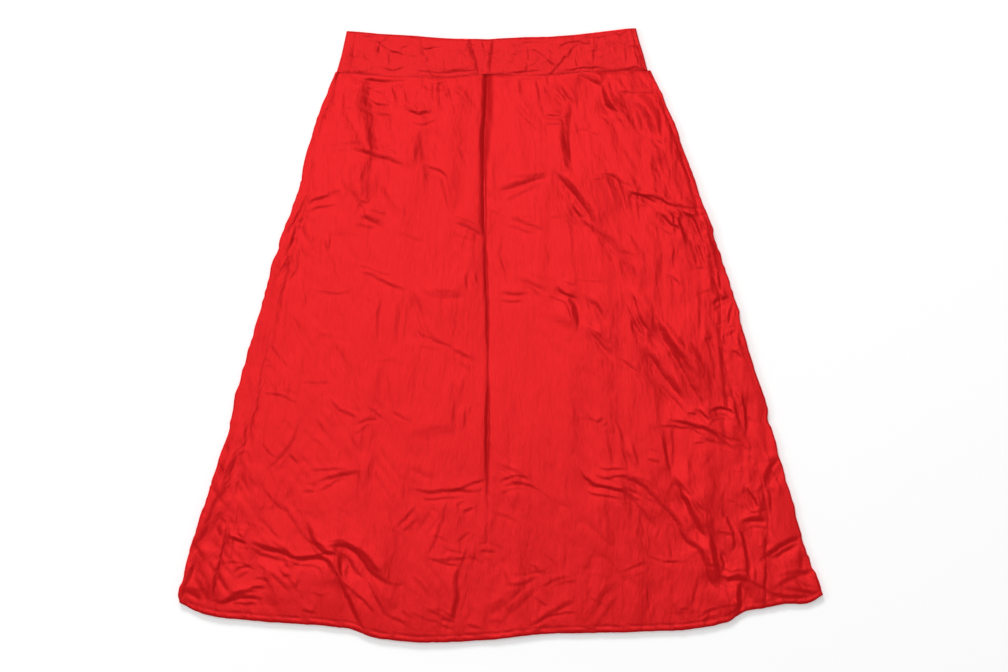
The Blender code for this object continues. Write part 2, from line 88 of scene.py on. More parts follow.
# The creases of the left half. A trough is below zero and a ridge above it. The width sets how
# broad the wall beside the line is, and the spread how slowly the cloth comes back beyond it.
# depth, width, spread, the points that it runs through
LEFT_CREASES = [
    # Under the waist seam
    (-1.9, 2.6, .3, [(-184, 321), (-165, 316.5), (-150, 315), (-130, 316), (-104, 315)]),
    (-1.2, 1.9, .2, [(-106, 317), (-90, 314), (-78, 311), (-65, 314), (-46, 317)]),
    (-.6, 2.0, .2, [(-168, 318), (-150, 314), (-128, 313)]),
    (.9, 3.0, 0, [(-92, 312), (-72, 314), (-40, 314)]),
    (-2.6, 12, .1, [(-162, 314), (-161, 290), (-157, 262), (-152, 238), (-153, 226)]),
    (-2.2, 7, .1, [(-160, 222), (-161, 200), (-161, 180), (-163, 164)]),
    (-1.2, 1.8, .2, [(-170, 299), (-160, 290), (-146, 283)]),
    (-1.2, 2.0, .2, [(-172, 283), (-158, 276), (-136, 272)]),
    (-1.2, 1.6, .1, [(-136, 308), (-132, 297), (-129, 287)]),
    (-1.0, 1.8, .1, [(-119, 312), (-117, 298), (-113, 284)]),
    (-1.5, 1.8, .2, [(-118, 280), (-110, 274.5), (-102, 273), (-92, 275), (-84, 276)]),
    (-.7, 1.8, .1, [(-99, 297), (-95, 288), (-88, 280)]),
    (-1.3, 2.4, .1, [(-76, 316), (-75, 300), (-73, 288), (-68, 276)]),
    (-.7, 2.0, .2, [(-65, 312), (-61, 296), (-56, 280)]),
    (.7, 2.6, 0, [(-61, 303), (-54, 288)]),
    (-1.2, 1.7, .2, [(-60, 306), (-50, 296), (-41, 285), (-33, 277)]),
    (-.5, 6, 0, [(-30, 310), (-34, 290), (-30, 268)]),
    # Yoke
    (-1.36, 2.7, .3, [(-182, 229), (-168, 226), (-155, 221), (-140, 218), (-124, 212)]),
    (-.6, 4.2, 0, [(-136, 252), (-135, 213)]),
    (-.6, 4, .2, [(-113, 268), (-107, 238)]),
    (-1.5, 6, .1, [(-99, 256), (-97, 236), (-93, 214)]),
    (-1.2, 1.9, .2, [(-98, 213), (-88, 208), (-78, 204), (-68, 198)]),
    (-.8, 4, .3, [(-87, 262), (-67, 241)]),
    (-.5, 2.2, .2, [(-61, 242), (-47, 208)]),
    (-1.1, 2.4, .3, [(-173, 167), (-165, 162)]),
    (-.6, 2.6, 0, [(-180, 202), (-181, 184)]),
    (-.9, 4, .3, [(-147, 192), (-150, 178), (-140, 160), (-127, 145)]),
    (-.6, 2.4, 0, [(-118, 167), (-118, 146)]),
    (-.6, 5, 0, [(-100, 202), (-101, 175), (-100, 148)]),
    (-1.2, 2.6, .2, [(-86, 206), (-78, 196), (-74, 184), (-70, 168), (-65, 153)]),
    (-1.4, 3.0, .3, [(-174, 148), (-165, 143), (-149, 135)]),
    (-1.4, 3.0, .3, [(-58, 138), (-42, 132), (-30, 126), (-21, 119)]),
    (.9, 5, .2, [(-66, 132), (-48, 127), (-30, 117)]),
    (-.5, 3.6, .2, [(-130, 128), (-110, 118), (-92, 114)]),
    (.5, 5, 0, [(-150, 205), (-156, 175), (-148, 150)]),
    (1.2, 12, 0, [(-188, 305), (-200, 262), (-204, 215)]),
    # Left hip, and the side fold above the middle
    (1.0, 1.9, .3, [(-242, 167), (-226, 172), (-210, 178), (-192, 184)]),
    (-.9, 1.7, .3, [(-242, 160), (-228, 166), (-210, 172)]),
    (.7, 2.6, .3, [(-241, 153), (-224, 161)]),
    (-.9, 2.6, .2, [(-232, 122), (-227, 106)]),
    (-.6, 2.2, .1, [(-222, 120), (-222, 93)]),
    (-.5, 2.2, .1, [(-213, 132), (-210, 104)]),
    (-1.5, 3.0, .2, [(-242, 168), (-250, 150), (-256, 140), (-268, 116)]),
    (-.9, 2.6, .2, [(-250, 152), (-257, 120), (-258, 103)]),
    (-.8, 2.2, .1, [(-249, 120), (-247, 106)]),
    (-1.0, 2.6, .2, [(-252, 105), (-250, 85), (-261, 68)]),
    (-.9, 2.4, .2, [(-261, 97), (-276, 70)]),
    (.8, 3.4, 0, [(-262, 128), (-266, 108), (-274, 92)]),
    (-.7, 2.4, .2, [(-283, 22), (-286, 0), (-291, -26), (-297, -60), (-304, -105)]),
    # Middle
    (-1.2, 1.9, .3, [(-176, 78), (-160, 73), (-142, 63), (-118, 57)]),
    (-1.2, 2.4, .2, [(-111, 55), (-105, 45), (-100, 30), (-94, 8), (-88, 0), (-78, -9)]),
    (-1.2, 1.6, .1, [(-107, 20), (-104, 8), (-99, -4)]),
    (1.4, 10, .2, [(-96, 64), (-78, 40), (-76, 12)]),
    (-1.2, 4.4, .2, [(-95, 53), (-80, 48), (-62, 46), (-46, 47)]),
    (-1.2, 1.6, .1, [(-42, 79), (-42, 58)]),
    (-.7, 5, 0, [(-185, 62), (-186, 28)]),
    (-1.2, 2.2, .1, [(-148, 45), (-150, 15), (-150, -10)]),
    (-1.2, 2.8, .1, [(-123, 42), (-126, 18), (-127, -8)]),
    (-.6, 5, 0, [(-50, 62), (-53, 30), (-52, -2)]),
    (-.7, 3.4, .2, [(-246, 42), (-237, 8)]),
    (-.7, 2.8, .3, [(-101, 1), (-75, -10), (-58, -18)]),
    (-1.2, 1.8, .3, [(-60, -18), (-50, -24), (-36, -33)]),
    (.9, 5, .2, [(-64, -24), (-50, -32), (-34, -40)]),
    (-.8, 4, .2, [(-211, -8), (-200, -25), (-187, -52)]),
    (-.6, 1.6, .2, [(-300, -71), (-280, -74), (-253, -84)]),
    (-1.0, 3.2, .3, [(-213, -79), (-202, -92), (-190, -98), (-178, -103)]),
    (-.9, 2.8, .3, [(-182, -113), (-165, -105), (-152, -105)]),
    (-.8, 2.6, .3, [(-166, -88), (-146, -106)]),
    (-.7, 3, .3, [(-137, -96), (-113, -109)]),
    (-1.3, 5, .2, [(-165, -104), (-168, -140), (-163, -160), (-166, -204)]),
    (-.7, 7, 0, [(-140, -30), (-143, -60), (-138, -88)]),
    (-.6, 8, 0, [(-96, -30), (-99, -70), (-94, -112)]),
    (.6, 10, 0, [(-118, -20), (-121, -60), (-116, -110)]),
    (-.8, 3.4, .3, [(-247, -103), (-255, -130), (-268, -148), (-292, -170)]),
    (-.8, 2.4, .3, [(-263, -147), (-249, -161)]),
    (-1.3, 2.2, .3, [(-226, -182), (-212, -179), (-195, -174), (-174, -170)]),
    (.5, 6, .2, [(-214, -168), (-196, -165), (-174, -160)]),
    (-.8, 2.4, .3, [(-246, -194), (-229, -195)]),
    (-1.2, 4.2, .1, [(-57, -55), (-56, -85), (-55, -118)]),
    (-1.2, 1.7, .1, [(-43, -90), (-43, -117)]),
    (-.6, 5.5, .3, [(-104, -131), (-80, -124), (-53, -120)]),
    (-.9, 4, .3, [(-114, -164), (-84, -181)]),
    (-1.3, 2.0, .3, [(-106, -193), (-90, -196), (-60, -194), (-24, -194)]),
    (.5, 7, .2, [(-108, -184), (-76, -181), (-44, -183)]),
    # Above the left corner
    (-1.3, 7, .2, [(-320, -103), (-323, -122), (-326, -146)]),
    (-1.7, 4.4, .2, [(-327, -146), (-332, -170), (-341, -204)]),
    (-1.0, 4, .2, [(-326, -163), (-318, -180), (-310, -200), (-304, -214)]),
    (1.3, 7, .1, [(-334, -140), (-342, -170), (-352, -200)]),
    (-.7, 2.4, .2, [(-350, -158), (-344, -172)]),
    (-1.9, 4.4, .3, [(-349, -198), (-356, -215), (-367, -245), (-374, -258), (-384, -270)]),
    (-2.0, 4, .2, [(-382, -266), (-383, -290), (-387, -304), (-397, -322)]),
    (1.7, 7, 0, [(-360, -212), (-374, -240), (-386, -264)]),
    (-1.8, 4, .2, [(-395, -316), (-382, -322), (-370, -328)]),
    (-1.2, 3.4, .2, [(-379, -301), (-370, -315), (-363, -330)]),
    (-1.3, 1.6, .1, [(-331, -212), (-335, -228), (-340, -248), (-344, -270), (-349, -290), (-353, -312)]),
    (-1.0, 3.6, .2, [(-350, -282), (-353, -300), (-356, -328)]),
    (-.9, 2.6, .2, [(-349, -227), (-339, -239)]),
    (-.8, 3, .2, [(-271, -211), (-254, -237)]),
    (-.9, 2.8, .3, [(-337, -251), (-313, -260)]),
    # Foot of the left half
    (.7, 6, .2, [(-302, -246), (-280, -254), (-250, -260), (-218, -264)]),
    (-1.4, 1.7, .2, [(-335, -252), (-318, -258)]),
    (-2.3, 2.9, .2, [(-308, -258), (-292, -266), (-278, -270), (-260, -275)]),
    (-1.8, 2.0, .3, [(-268, -274), (-245, -278), (-222, -279), (-207, -288)]),
    (-1.3, 1.8, .2, [(-273, -276), (-268, -284), (-264, -291)]),
    (-2.3, 2.5, .2, [(-210, -284), (-203, -297), (-199, -312), (-191, -326), (-183, -342), (-172, -364)]),
    (-1.1, 3, .3, [(-273, -271), (-261, -290)]),
    (-2.5, 3.2, .1, [(-240, -232), (-235, -250), (-228, -263), (-216, -272), (-204, -278)]),
    (-1.6, 2.4, .3, [(-213, -262), (-200, -262), (-188, -264), (-176, -271)]),
    (-2.6, 3.8, .2, [(-193, -262), (-175, -275), (-166, -288), (-156, -299), (-144, -307)]),
    (-1.9, 2.2, .1, [(-198, -272), (-197, -290), (-193, -308)]),
    (1.0, 4, .1, [(-208, -262), (-203, -275), (-201, -292)]),
    (1.0, 8, .2, [(-226, -212), (-204, -236), (-186, -250), (-162, -266)]),
    (-1.0, 2.4, .4, [(-333, -292), (-309, -287)]),
    (-1.7, 2.0, .3, [(-350, -334), (-335, -329), (-315, -326), (-298, -327)]),
    (-1.2, 1.6, .3, [(-332, -333), (-316, -335), (-300, -333)]),
    (-.9, 2.4, .3, [(-305, -302), (-289, -306)]),
    (-1.3, 3, .3, [(-290, -294), (-278, -305), (-264, -320)]),
    (-1.0, 2.4, .3, [(-271, -300), (-261, -298)]),
    (-.9, 2.4, .2, [(-252, -304), (-253, -314)]),
    (.9, 5, .2, [(-284, -314), (-268, -330)]),
    (-.9, 2.6, .3, [(-247, -343), (-229, -346)]),
    (-1.0, 3, .2, [(-168, -299), (-160, -318), (-145, -343), (-139, -352)]),
    (1.0, 6, .1, [(-152, -312), (-140, -334), (-128, -348)]),
    (-.9, 2.4, .2, [(-132, -241), (-112, -222), (-100, -210)]),
    (.9, 7, .2, [(-116, -240), (-98, -224), (-88, -208)]),
    (-.8, 2.2, .2, [(-65, -204), (-72, -230), (-82, -256), (-89, -277)]),
    (-.9, 2.6, .3, [(-90, -277), (-70, -284), (-50, -287)]),
    (-1.5, 2.6, .1, [(-48, -288), (-52, -302), (-51, -320), (-55, -340), (-60, -354)]),
    (-1.3, 2.2, .3, [(-76, -352), (-60, -357)]),
    (.6, 7, .1, [(-36, -290), (-39, -310), (-42, -340)]),
    (-.8, 2.4, .2, [(-46, -221), (-32, -214)]),
    (-.7, 2.4, .2, [(-51, -256), (-37, -244)]),
    (-.8, 2.6, .1, [(-41, -263), (-48, -287)]),
    (-.7, 2.4, 0, [(-29, -248), (-33, -287)]),
    (-.9, 2.6, .3, [(-137, -349), (-118, -361)]),
    (-.7, 2.4, .3, [(-92, -340), (-72, -350)]),
    (-.8, 2.2, .3, [(-42, -361), (-24, -364)]),
]


def smooth(table, at):
    """The values at the stations `at`, on a smooth curve through rows of (station, value)."""
    stations, values = np.array(sorted(table), dtype=float).T
    slopes = np.gradient(values, stations)
    at = np.clip(at, stations[0], stations[-1])
    row = np.clip(np.searchsorted(stations, at) - 1, 0, len(stations) - 2)
    span = stations[row + 1] - stations[row]
    t = (at - stations[row]) / span
    start = (1 + 2 * t) * (1 - t) ** 2 * values[row] + t * (1 - t) ** 2 * span * slopes[row]
    end = t ** 2 * (3 - 2 * t) * values[row + 1] + t ** 2 * (t - 1) * span * slopes[row + 1]
    return start + end


def line_of(sections, column):
    """A function that gives where one line of a section table lies at each height."""
    table = [(row[0], row[column]) for row in sections]
    return lambda y: smooth(table, y)


def eased(share):
    """A share held between 0 and 1, which leaves both of them gently."""
    share = np.clip(share, 0.0, 1.0)
    return share * share * (3 - 2 * share)


LATTICE = 64            # random values along each side of the field that the waves are read from
LATTICE_MIDDLE = 31.0   # the middle of the skirt reads about the middle of that field
ONE_WAY = 10.0          # width of waves that run along a line
ACROSS_SHARE = 0.1      # and how little they change across it


def soft_noise(x, y, size_x, size_y, seed):
    """Smooth random waves from -1 to 1, as long and as wide as the two sizes."""
    lattice = np.random.default_rng(seed).uniform(-1.0, 1.0, (LATTICE, LATTICE))
    u, v = x / size_x + LATTICE_MIDDLE, y / size_y + LATTICE_MIDDLE
    i, j = np.floor(u).astype(int), np.floor(v).astype(int)
    s, t = eased(u - i), eased(v - j)
    i, j = i % (LATTICE - 1), j % (LATTICE - 1)
    lower = lattice[i, j] * (1 - s) + lattice[i + 1, j] * s
    upper = lattice[i, j + 1] * (1 - s) + lattice[i + 1, j + 1] * s
    return lower * (1 - t) + upper * t


def wave(x, y, size):
    """Random waves, from their height, width, length and seed."""
    height, width, length, seed = size
    return height * soft_noise(x, y, width, length, seed)


GATHERS = (15.0, 6.0)   # lengths of the waves that stitches pull a line into
SHORT_GATHER = 0.5      # the shorter waves have this share of the longer ones' size
LINE_APART = 9.0        # each line reads the random waves at a place of its own


def wavy(line, size, seed):
    """The same line as gathered by its stitches, which makes it a little wavy."""
    def gathered(y):
        place = seed * LINE_APART + 0 * y
        long_waves = soft_noise(place, y, ONE_WAY, GATHERS[0], seed)
        short_waves = soft_noise(place, y, ONE_WAY, GATHERS[1], seed + 1)
        return line(y) + size * (long_waves + SHORT_GATHER * short_waves)
    return gathered


FIRST_LINE_SEED = 61
LEFT_FOLD, LEFT_SEAM, CENTRE_SEAM, RIGHT_SEAM, RIGHT_FOLD = (
    wavy(line_of(PANEL_SECTIONS, i + 1), size, FIRST_LINE_SEED + i) for i, size in enumerate(LINE_WAVES))


def waist_seam(x):
    """Where the waist seam lies, at the middle of its gap."""
    return smooth(WAIST_SEAM, x)


def below_waist_seam(x):
    """The upper edge of the front and the back."""
    return waist_seam(x) - WAIST_GAP / 2


# height, width, length, seed
HEM_WAVES = [(0.4, 12.0, ONE_WAY, 78), (0.25, 5.0, ONE_WAY, 79)]


def hem_line(x):
    """The hem's edge, a little wavy where its stitches hold it."""
    return smooth(HEM_LINE, x) + wave(x, 0 * x, HEM_WAVES[0]) + wave(x, 0 * x, HEM_WAVES[1])


VALLEY_POWER = 1.35     # 1 would be a sharp seam, and 2 a round groove


def dent(distance, width):
    """A soft trough's profile: one at its line, and nothing a few widths away."""
    return np.exp(-(distance / width) ** 2)


def valley(distance, width):
    """The profile of a seam: sharp where the pieces meet, and round where the cloth turns down."""
    return np.exp(-(np.abs(distance) / width) ** VALLEY_POWER)


CREASE_STEP = 5.0       # a crease's line is followed in steps of about this length
CREASE_REACH = 2.8      # how far a crease reaches, in the widths over which the cloth comes back
CREASE_GAIN = 0.87      # share of its depth at which a crease is laid
CREASE_FADE = 0.34      # share of its length over which a crease swells from each end
CREASE_TAIL = 0.12      # a crease runs on past its last points by this share of its length
END_WIDTH = 0.6         # share of its width that a crease has at its ends
FULL_SPREAD = 6.0       # how many widths more the cloth needs to come back, at a spread of 1
SLOW_SLOPE = 0.055      # cloth comes back to its level no steeper than about this
CRISP_POWER = 1.12      # the nearer to 1, the more sharply the cloth turns beside a wall
FALL_POWER = 1.6        # a narrow wall is this many times as steep at its line as on the whole
FALL_WIDTH = 2.6        # a crease's wall is this many widths across
SOFT_FROM = 3.6         # past this width a wall turns into a soft slope
WAIST_SIDE = (-0.3, 0.95)   # a crease's upper side looks this way, to the waist and a little left
RIDGE_SHARE = 0.6       # share of its row's height that a ridge has
SLIGHT_DEPTH = 1.35     # creases shallower than this are laid still shallower
THINNER_DEPTH = 1.15    # and those of a middling width that are shallower than this are thinner too
MIDDLING_WIDTHS = (1.9, 3.7)
SLIGHT_SHARE = 0.6      # what such creases keep of their depth and their width
DEPTH_LIMIT = (1.0, 0.6)    # past this depth a crease only deepens by this share
WIDTH_LIMIT = (4.0, 0.5)    # and past this width it only widens by this one
SPREAD_SHARE = 0.7      # share of its row's spread that a crease has


def crease_line(points):
    """A smooth line through a crease's points, and how far along it each step lies."""
    x, y = np.array(points, dtype=float).T
    tail = CREASE_TAIL * np.hypot(np.diff(x), np.diff(y)).sum()
    first, last = math.atan2(y[0] - y[1], x[0] - x[1]), math.atan2(y[-1] - y[-2], x[-1] - x[-2])
    x = np.concatenate([[x[0] + tail * math.cos(first)], x, [x[-1] + tail * math.cos(last)]])
    y = np.concatenate([[y[0] + tail * math.sin(first)], y, [y[-1] + tail * math.sin(last)]])
    station = np.concatenate([[0.0], np.cumsum(np.hypot(np.diff(x), np.diff(y)))])
    at = np.linspace(0.0, station[-1], max(3, int(station[-1] / CREASE_STEP) + 1))
    line = np.stack([smooth(list(zip(station, x)), at), smooth(list(zip(station, y)), at)], axis=1)
    return line, at / station[-1]


def prepared(creases):
    """The creases with their smooth lines worked out, ready to be laid on any piece."""
    return [(depth, width, spread, *crease_line(points)) for depth, width, spread, points in creases]


def eased_over(size, limit, share):
    """A size that only grows by a share once it is past a limit."""
    return math.copysign(min(abs(size), limit) + share * max(abs(size) - limit, 0.0), size)


def softened(creases):
    """The same creases, with the deepest and widest held back and the slight ones made thinner."""
    held = []
    for depth, width, spread, points in creases:
        slight = abs(depth) < SLIGHT_DEPTH
        thinner = abs(depth) < THINNER_DEPTH and MIDDLING_WIDTHS[0] < width < MIDDLING_WIDTHS[1]
        depth_share = (SLIGHT_SHARE if slight else 1.0) * (1.0 if depth < 0 else RIDGE_SHARE)
        width_share = SLIGHT_SHARE if thinner else 1.0
        held.append((depth_share * eased_over(depth, *DEPTH_LIMIT),
                     width_share * eased_over(width, *WIDTH_LIMIT), SPREAD_SHARE * spread, points))
    return held


BESIDE_GAP = (5.0, 13.0)        # how far beside a main crease a fainter one lies
BESIDE_SHIFT = 0.3              # how far along it that one may be moved, in its lengths
BESIDE_TURN = 0.16              # and turned, in radians
BESIDE_LENGTH = (0.55, 1.0)     # the fainter one's shares of its length, its depth and its width
BESIDE_DEPTH = (0.2, 0.45)
BESIDE_WIDTH = 0.6
BESIDE_LIMIT = (1.4, 0.4)       # past this depth of the main crease only this share counts
PAIR_DEPTH = 1.2                # a crease deeper than this has two beside it


def companions(creases, seed):
    """Fainter creases beside the main ones, since this cloth creases in bundles."""
    random = np.random.default_rng(seed)
    beside = []
    for depth, width, spread, points in creases:
        (x1, y1), (x2, y2) = points[0], points[-1]
        length = max(math.hypot(x2 - x1, y2 - y1), 1.0)
        middle = ((x1 + x2) / 2, (y1 + y2) / 2)
        for _ in range(2 if abs(depth) > PAIR_DEPTH else 1):
            apart = random.choice([-1.0, 1.0]) * random.uniform(*BESIDE_GAP)
            ahead = random.uniform(-BESIDE_SHIFT, BESIDE_SHIFT) * length
            turn, size = random.normal(0.0, BESIDE_TURN), random.uniform(*BESIDE_LENGTH)
            share = random.uniform(*BESIDE_DEPTH)
            centre_x = middle[0] + (ahead * (x2 - x1) - apart * (y2 - y1)) / length
            centre_y = middle[1] + (ahead * (y2 - y1) + apart * (x2 - x1)) / length
            cos, sin = size * math.cos(turn), size * math.sin(turn)
            line = [(centre_x + cos * (x - middle[0]) - sin * (y - middle[1]),
                     centre_y + sin * (x - middle[0]) + cos * (y - middle[1])) for x, y in points]
            beside.append((share * eased_over(depth, *BESIDE_LIMIT), BESIDE_WIDTH * width, spread, line))
    return beside


def nearest_on(line, along, px, py):
    """For each point its distance from a crease's line, its place along it, and its side of it."""
    best = np.full(px.shape, np.inf)
    place, side = np.zeros(px.shape), np.zeros(px.shape)
    for i in range(len(line) - 1):
        (ax, ay), (bx, by) = line[i], line[i + 1]
        dx, dy = bx - ax, by - ay
        share = np.clip(((px - ax) * dx + (py - ay) * dy) / (dx * dx + dy * dy), 0.0, 1.0)
        off_x, off_y = px - ax - share * dx, py - ay - share * dy
        distance = off_x ** 2 + off_y ** 2
        closer = distance < best
        best = np.where(closer, distance, best)
        place = np.where(closer, along[i] + (along[i + 1] - along[i]) * share, place)
        side = np.where(closer, np.sign(dx * off_y - dy * off_x), side)
    return np.sqrt(best), place, side


def one_crease(x, y, crease):
    """How much one crease lifts the points (x, y), and which of them it reaches.

    A crease is a short steep wall, and on both sides of it the cloth comes back slowly to its
    level. A trough's wall rises from its line towards the waist, and a ridge's falls away from it.
    """
    depth, width, spread, line, along = crease
    wall = FALL_WIDTH * width
    slow = max(width * (1 + FULL_SPREAD * spread), abs(depth) / 2 / SLOW_SLOPE)
    reach = wall + CREASE_REACH * slow
    near = np.nonzero((x > line[:, 0].min() - reach) & (x < line[:, 0].max() + reach)
                      & (y > line[:, 1].min() - reach) & (y < line[:, 1].max() + reach))
    distance, place, side = nearest_on(line, along, x[near], y[near])
    swell = eased(place / CREASE_FADE) * eased((1 - place) / CREASE_FADE)
    taper = END_WIDTH + (1 - END_WIDTH) * swell
    (first_x, first_y), (last_x, last_y) = line[0], line[-1]
    left_side = (first_y - last_y) * WAIST_SIDE[0] + (last_x - first_x) * WAIST_SIDE[1]
    steep_side = math.copysign(1.0, left_side) * (1.0 if depth < 0 else -1.0)
    distance = distance * side * steep_side
    # A narrow wall is crisp at its line, and a wide one is a soft slope.
    share = np.clip(distance / (wall * taper), 0.0, 1.0)
    soft = eased((width - SOFT_FROM) / SOFT_FROM)
    rise = (1 - (1 - share) ** FALL_POWER) * (1 - soft) + eased(share) * soft - 0.5
    beyond = np.where(distance < 0, -distance, np.maximum(distance - wall * taper, 0.0))
    fading = np.exp(-(beyond / (slow * taper)) ** CRISP_POWER)
    return near, swell * -depth * rise * fading


WANDER = 1.3            # how far a crease's line strays from its smooth course
# share of the stray, the two sizes of its waves, seed for its stray in x, seed for its stray in y
WANDER_WAVES = [(1.0, 21.0, 21.0, 14, 16), (0.6, 7.0, 9.0, 15, 17), (0.3, 3.6, 4.4, 18, 19)]


def crease_height(x, y, creases):
    """How much all the creases together lift the points (x, y)."""
    strayed_x = x + WANDER * sum(share * soft_noise(x, y, short, long, seed)
                                 for share, short, long, seed, _ in WANDER_WAVES)
    strayed_y = y + WANDER * sum(share * soft_noise(x, y, long, short, seed)
                                 for share, short, long, _, seed in WANDER_WAVES)
    total = np.zeros(x.shape)
    for crease in creases:
        near, height = one_crease(strayed_x, strayed_y, crease)
        total[near] += CREASE_GAIN * height
    return total


# Where the cloth is more crumpled: from where, over how much, and what it adds to the plain share
PLAIN_LIFE = 0.24
FOOT_FROM, FOOT_OVER, FOOT_LIFE = -120.0, 160.0, 0.26
SIDE_FROM, SIDE_OVER, SIDE_LIFE = 0.62, 0.3, 0.46       # in shares of half the skirt's width
RIGHT_FROM, RIGHT_OVER, RIGHT_LIFE = 20.0, 200.0, 0.28
RIGHT_TOP = 260.0


def liveliness(x, y):
    """How crumpled the cloth is, from 0 where it lies plain to 1 at the sides and the foot."""
    left_fold, right_fold = LEFT_FOLD(y), RIGHT_FOLD(y)
    from_middle = np.abs(x - 0.5 * (left_fold + right_fold)) / (0.5 * (right_fold - left_fold))
    foot = eased((FOOT_FROM - y) / FOOT_OVER)
    side = eased((from_middle - SIDE_FROM) / SIDE_OVER)
    right = eased((x - RIGHT_FROM) / RIGHT_OVER) * eased((RIGHT_TOP - y) / RIGHT_OVER)
    return np.clip(PLAIN_LIFE + FOOT_LIFE * foot + SIDE_LIFE * side + RIGHT_LIFE * right, 0.0, 1.0)


STREWN_HEIGHTS = (-365.0, 318.0)
STREWN_ACROSS = (0.03, 0.97)        # shares of the width between the two folds
STREWN_LENGTHS = (12.0, 60.0)
STREWN_WIDTHS = (0.9, 2.0)
STREWN_DEPTHS = (0.06, 0.3)
STREWN_SPREADS = (0.1, 0.7)
STREWN_ANGLES = [-1.5, -1.15, -0.3]     # radians
STREWN_CHANCES = [0.55, 0.3, 0.15]      # how often each angle comes
STREWN_SIGNS = [-1.0, -1.0, 1.0]        # two troughs for each ridge
STREWN_TURN = 0.22                      # how much an angle strays
STREWN_BEND = 0.16                      # and how much a crease bends at its middle
STREWN_EVERYWHERE = 0.1                 # chance of a crease where the cloth lies plain
LEAST_STREWN_DEPTH = 0.5                # share of its depth that a crease keeps there


def small_creases(count, seed):
    """Short, fine creases strewn over the front, uneven in length, depth and direction."""
    random = np.random.default_rng(seed)
    creases = []
    while len(creases) < count:
        y = random.uniform(*STREWN_HEIGHTS)
        x = LEFT_FOLD(y) + (RIGHT_FOLD(y) - LEFT_FOLD(y)) * random.uniform(*STREWN_ACROSS)
        live = float(liveliness(x, y))
        keep = random.uniform(0.0, 1.0)
        length = random.uniform(*STREWN_LENGTHS)
        angle = random.choice(STREWN_ANGLES, p=STREWN_CHANCES) + random.normal(0.0, STREWN_TURN)
        bend = random.normal(0.0, STREWN_BEND)
        width = random.uniform(*STREWN_WIDTHS)
        depth = random.choice(STREWN_SIGNS) * random.uniform(*STREWN_DEPTHS) * (LEAST_STREWN_DEPTH + live)
        lean = random.uniform(*STREWN_SPREADS)
        if keep > live + STREWN_EVERYWHERE:
            continue
        turn = [angle - bend, angle + bend]
        middle = (x + length / 2 * math.cos(turn[0]), y + length / 2 * math.sin(turn[0]))
        end = (middle[0] + length / 2 * math.cos(turn[1]), middle[1] + length / 2 * math.sin(turn[1]))
        creases.append((depth, width, lean, [(x, y), middle, end]))
    return creases


LEFT_CREASES = softened(LEFT_CREASES) + companions(LEFT_CREASES, seed=12)
STREWN_CREASES = small_creases(count=720, seed=11)

PUCKER_NEAR = (0.5, 1.0)        # shares of its reach that a pucker runs to the left of the seam
PUCKER_FAR = (0.6, 1.2)         # and how much further or less far it runs to the right
PUCKER_TILT = (-0.5, 0.9)
PUCKER_DEPTHS = (-0.4, 0.3)
PUCKER_WIDTHS = (0.9, 1.7)
PUCKER_SPREAD = 0.2
PUCKERS_APART = (7.0, 19.0)
PUCKER_TOP = 315.0


def seam_puckers(line, foot, seed, reach):
    """Short creases across a seam, where the stitches gather the cloth a little."""
    random = np.random.default_rng(seed)
    creases = []
    y = foot
    while y < PUCKER_TOP:
        x = float(line(y))
        half = random.uniform(*PUCKER_NEAR) * reach
        tilt = random.uniform(*PUCKER_TILT)
        start, end = (x - half, y + half * tilt), (x + half * random.uniform(*PUCKER_FAR), y - half * tilt)
        creases.append((random.uniform(*PUCKER_DEPTHS), random.uniform(*PUCKER_WIDTHS), PUCKER_SPREAD,
                        [start, (x, y), end]))
        y += random.uniform(*PUCKERS_APART)
    return creases


# height, width, length, seed
BROAD_WAVES = [(0.6, 110.0, 150.0, 3), (0.42, 21.0, 105.0, 5)]
UPRIGHT_WAVE, UPRIGHT_DRIFT = (0.45, 17.0, 62.0, 8), (5.0, 60.0, 40.0, 6)
LEANING_WAVE, LEANING_DRIFT = (0.40, 15.0, 48.0, 9), (5.0, 50.0, 50.0, 7)
FINE_WAVE, FINE_DRIFT = (0.13, 6.0, 34.0, 26), (2.0, 14.0, 20.0, 25)
FINE_LEANING_WAVE = (0.09, 5.0, 21.0, 27)
PATCHES = (0.9, 60.0, 60.0, 10)
BUNDLES = (0.9, 42.0, 48.0, 24)
WAVE_LEAN, FINE_LEAN = 0.7, 0.5
PATCH_MEAN, BUNDLE_MEAN = 0.5, 0.35
LEAST_WAVES, LEAST_BUNDLES, LEAST_FINE = 0.4, 0.15, 0.5     # what is left where the cloth lies plain


def waves_height(x, y):
    """The broad, low waves of cloth that has been lying folded, and the fine ones upon them."""
    live = liveliness(x, y)
    broad = wave(x, y, BROAD_WAVES[0]) + wave(x, y, BROAD_WAVES[1])
    upright = np.abs(wave(x + wave(x, y, UPRIGHT_DRIFT), y, UPRIGHT_WAVE))
    leaning = np.abs(wave(x + WAVE_LEAN * y + wave(x, y, LEANING_DRIFT), y - WAVE_LEAN * x, LEANING_WAVE))
    patches = eased(PATCH_MEAN + wave(x, y, PATCHES))
    waves = upright * patches + leaning * (1 - patches)
    bundles = eased(BUNDLE_MEAN + wave(x, y, BUNDLES))
    fine = (np.abs(wave(x + wave(x, y, FINE_DRIFT), y, FINE_WAVE))
            + np.abs(wave(x + FINE_LEAN * y, y - FINE_LEAN * x, FINE_LEANING_WAVE)))
    return broad + waves * (LEAST_WAVES + live) + fine * (LEAST_BUNDLES + bundles) * (LEAST_FINE + live)


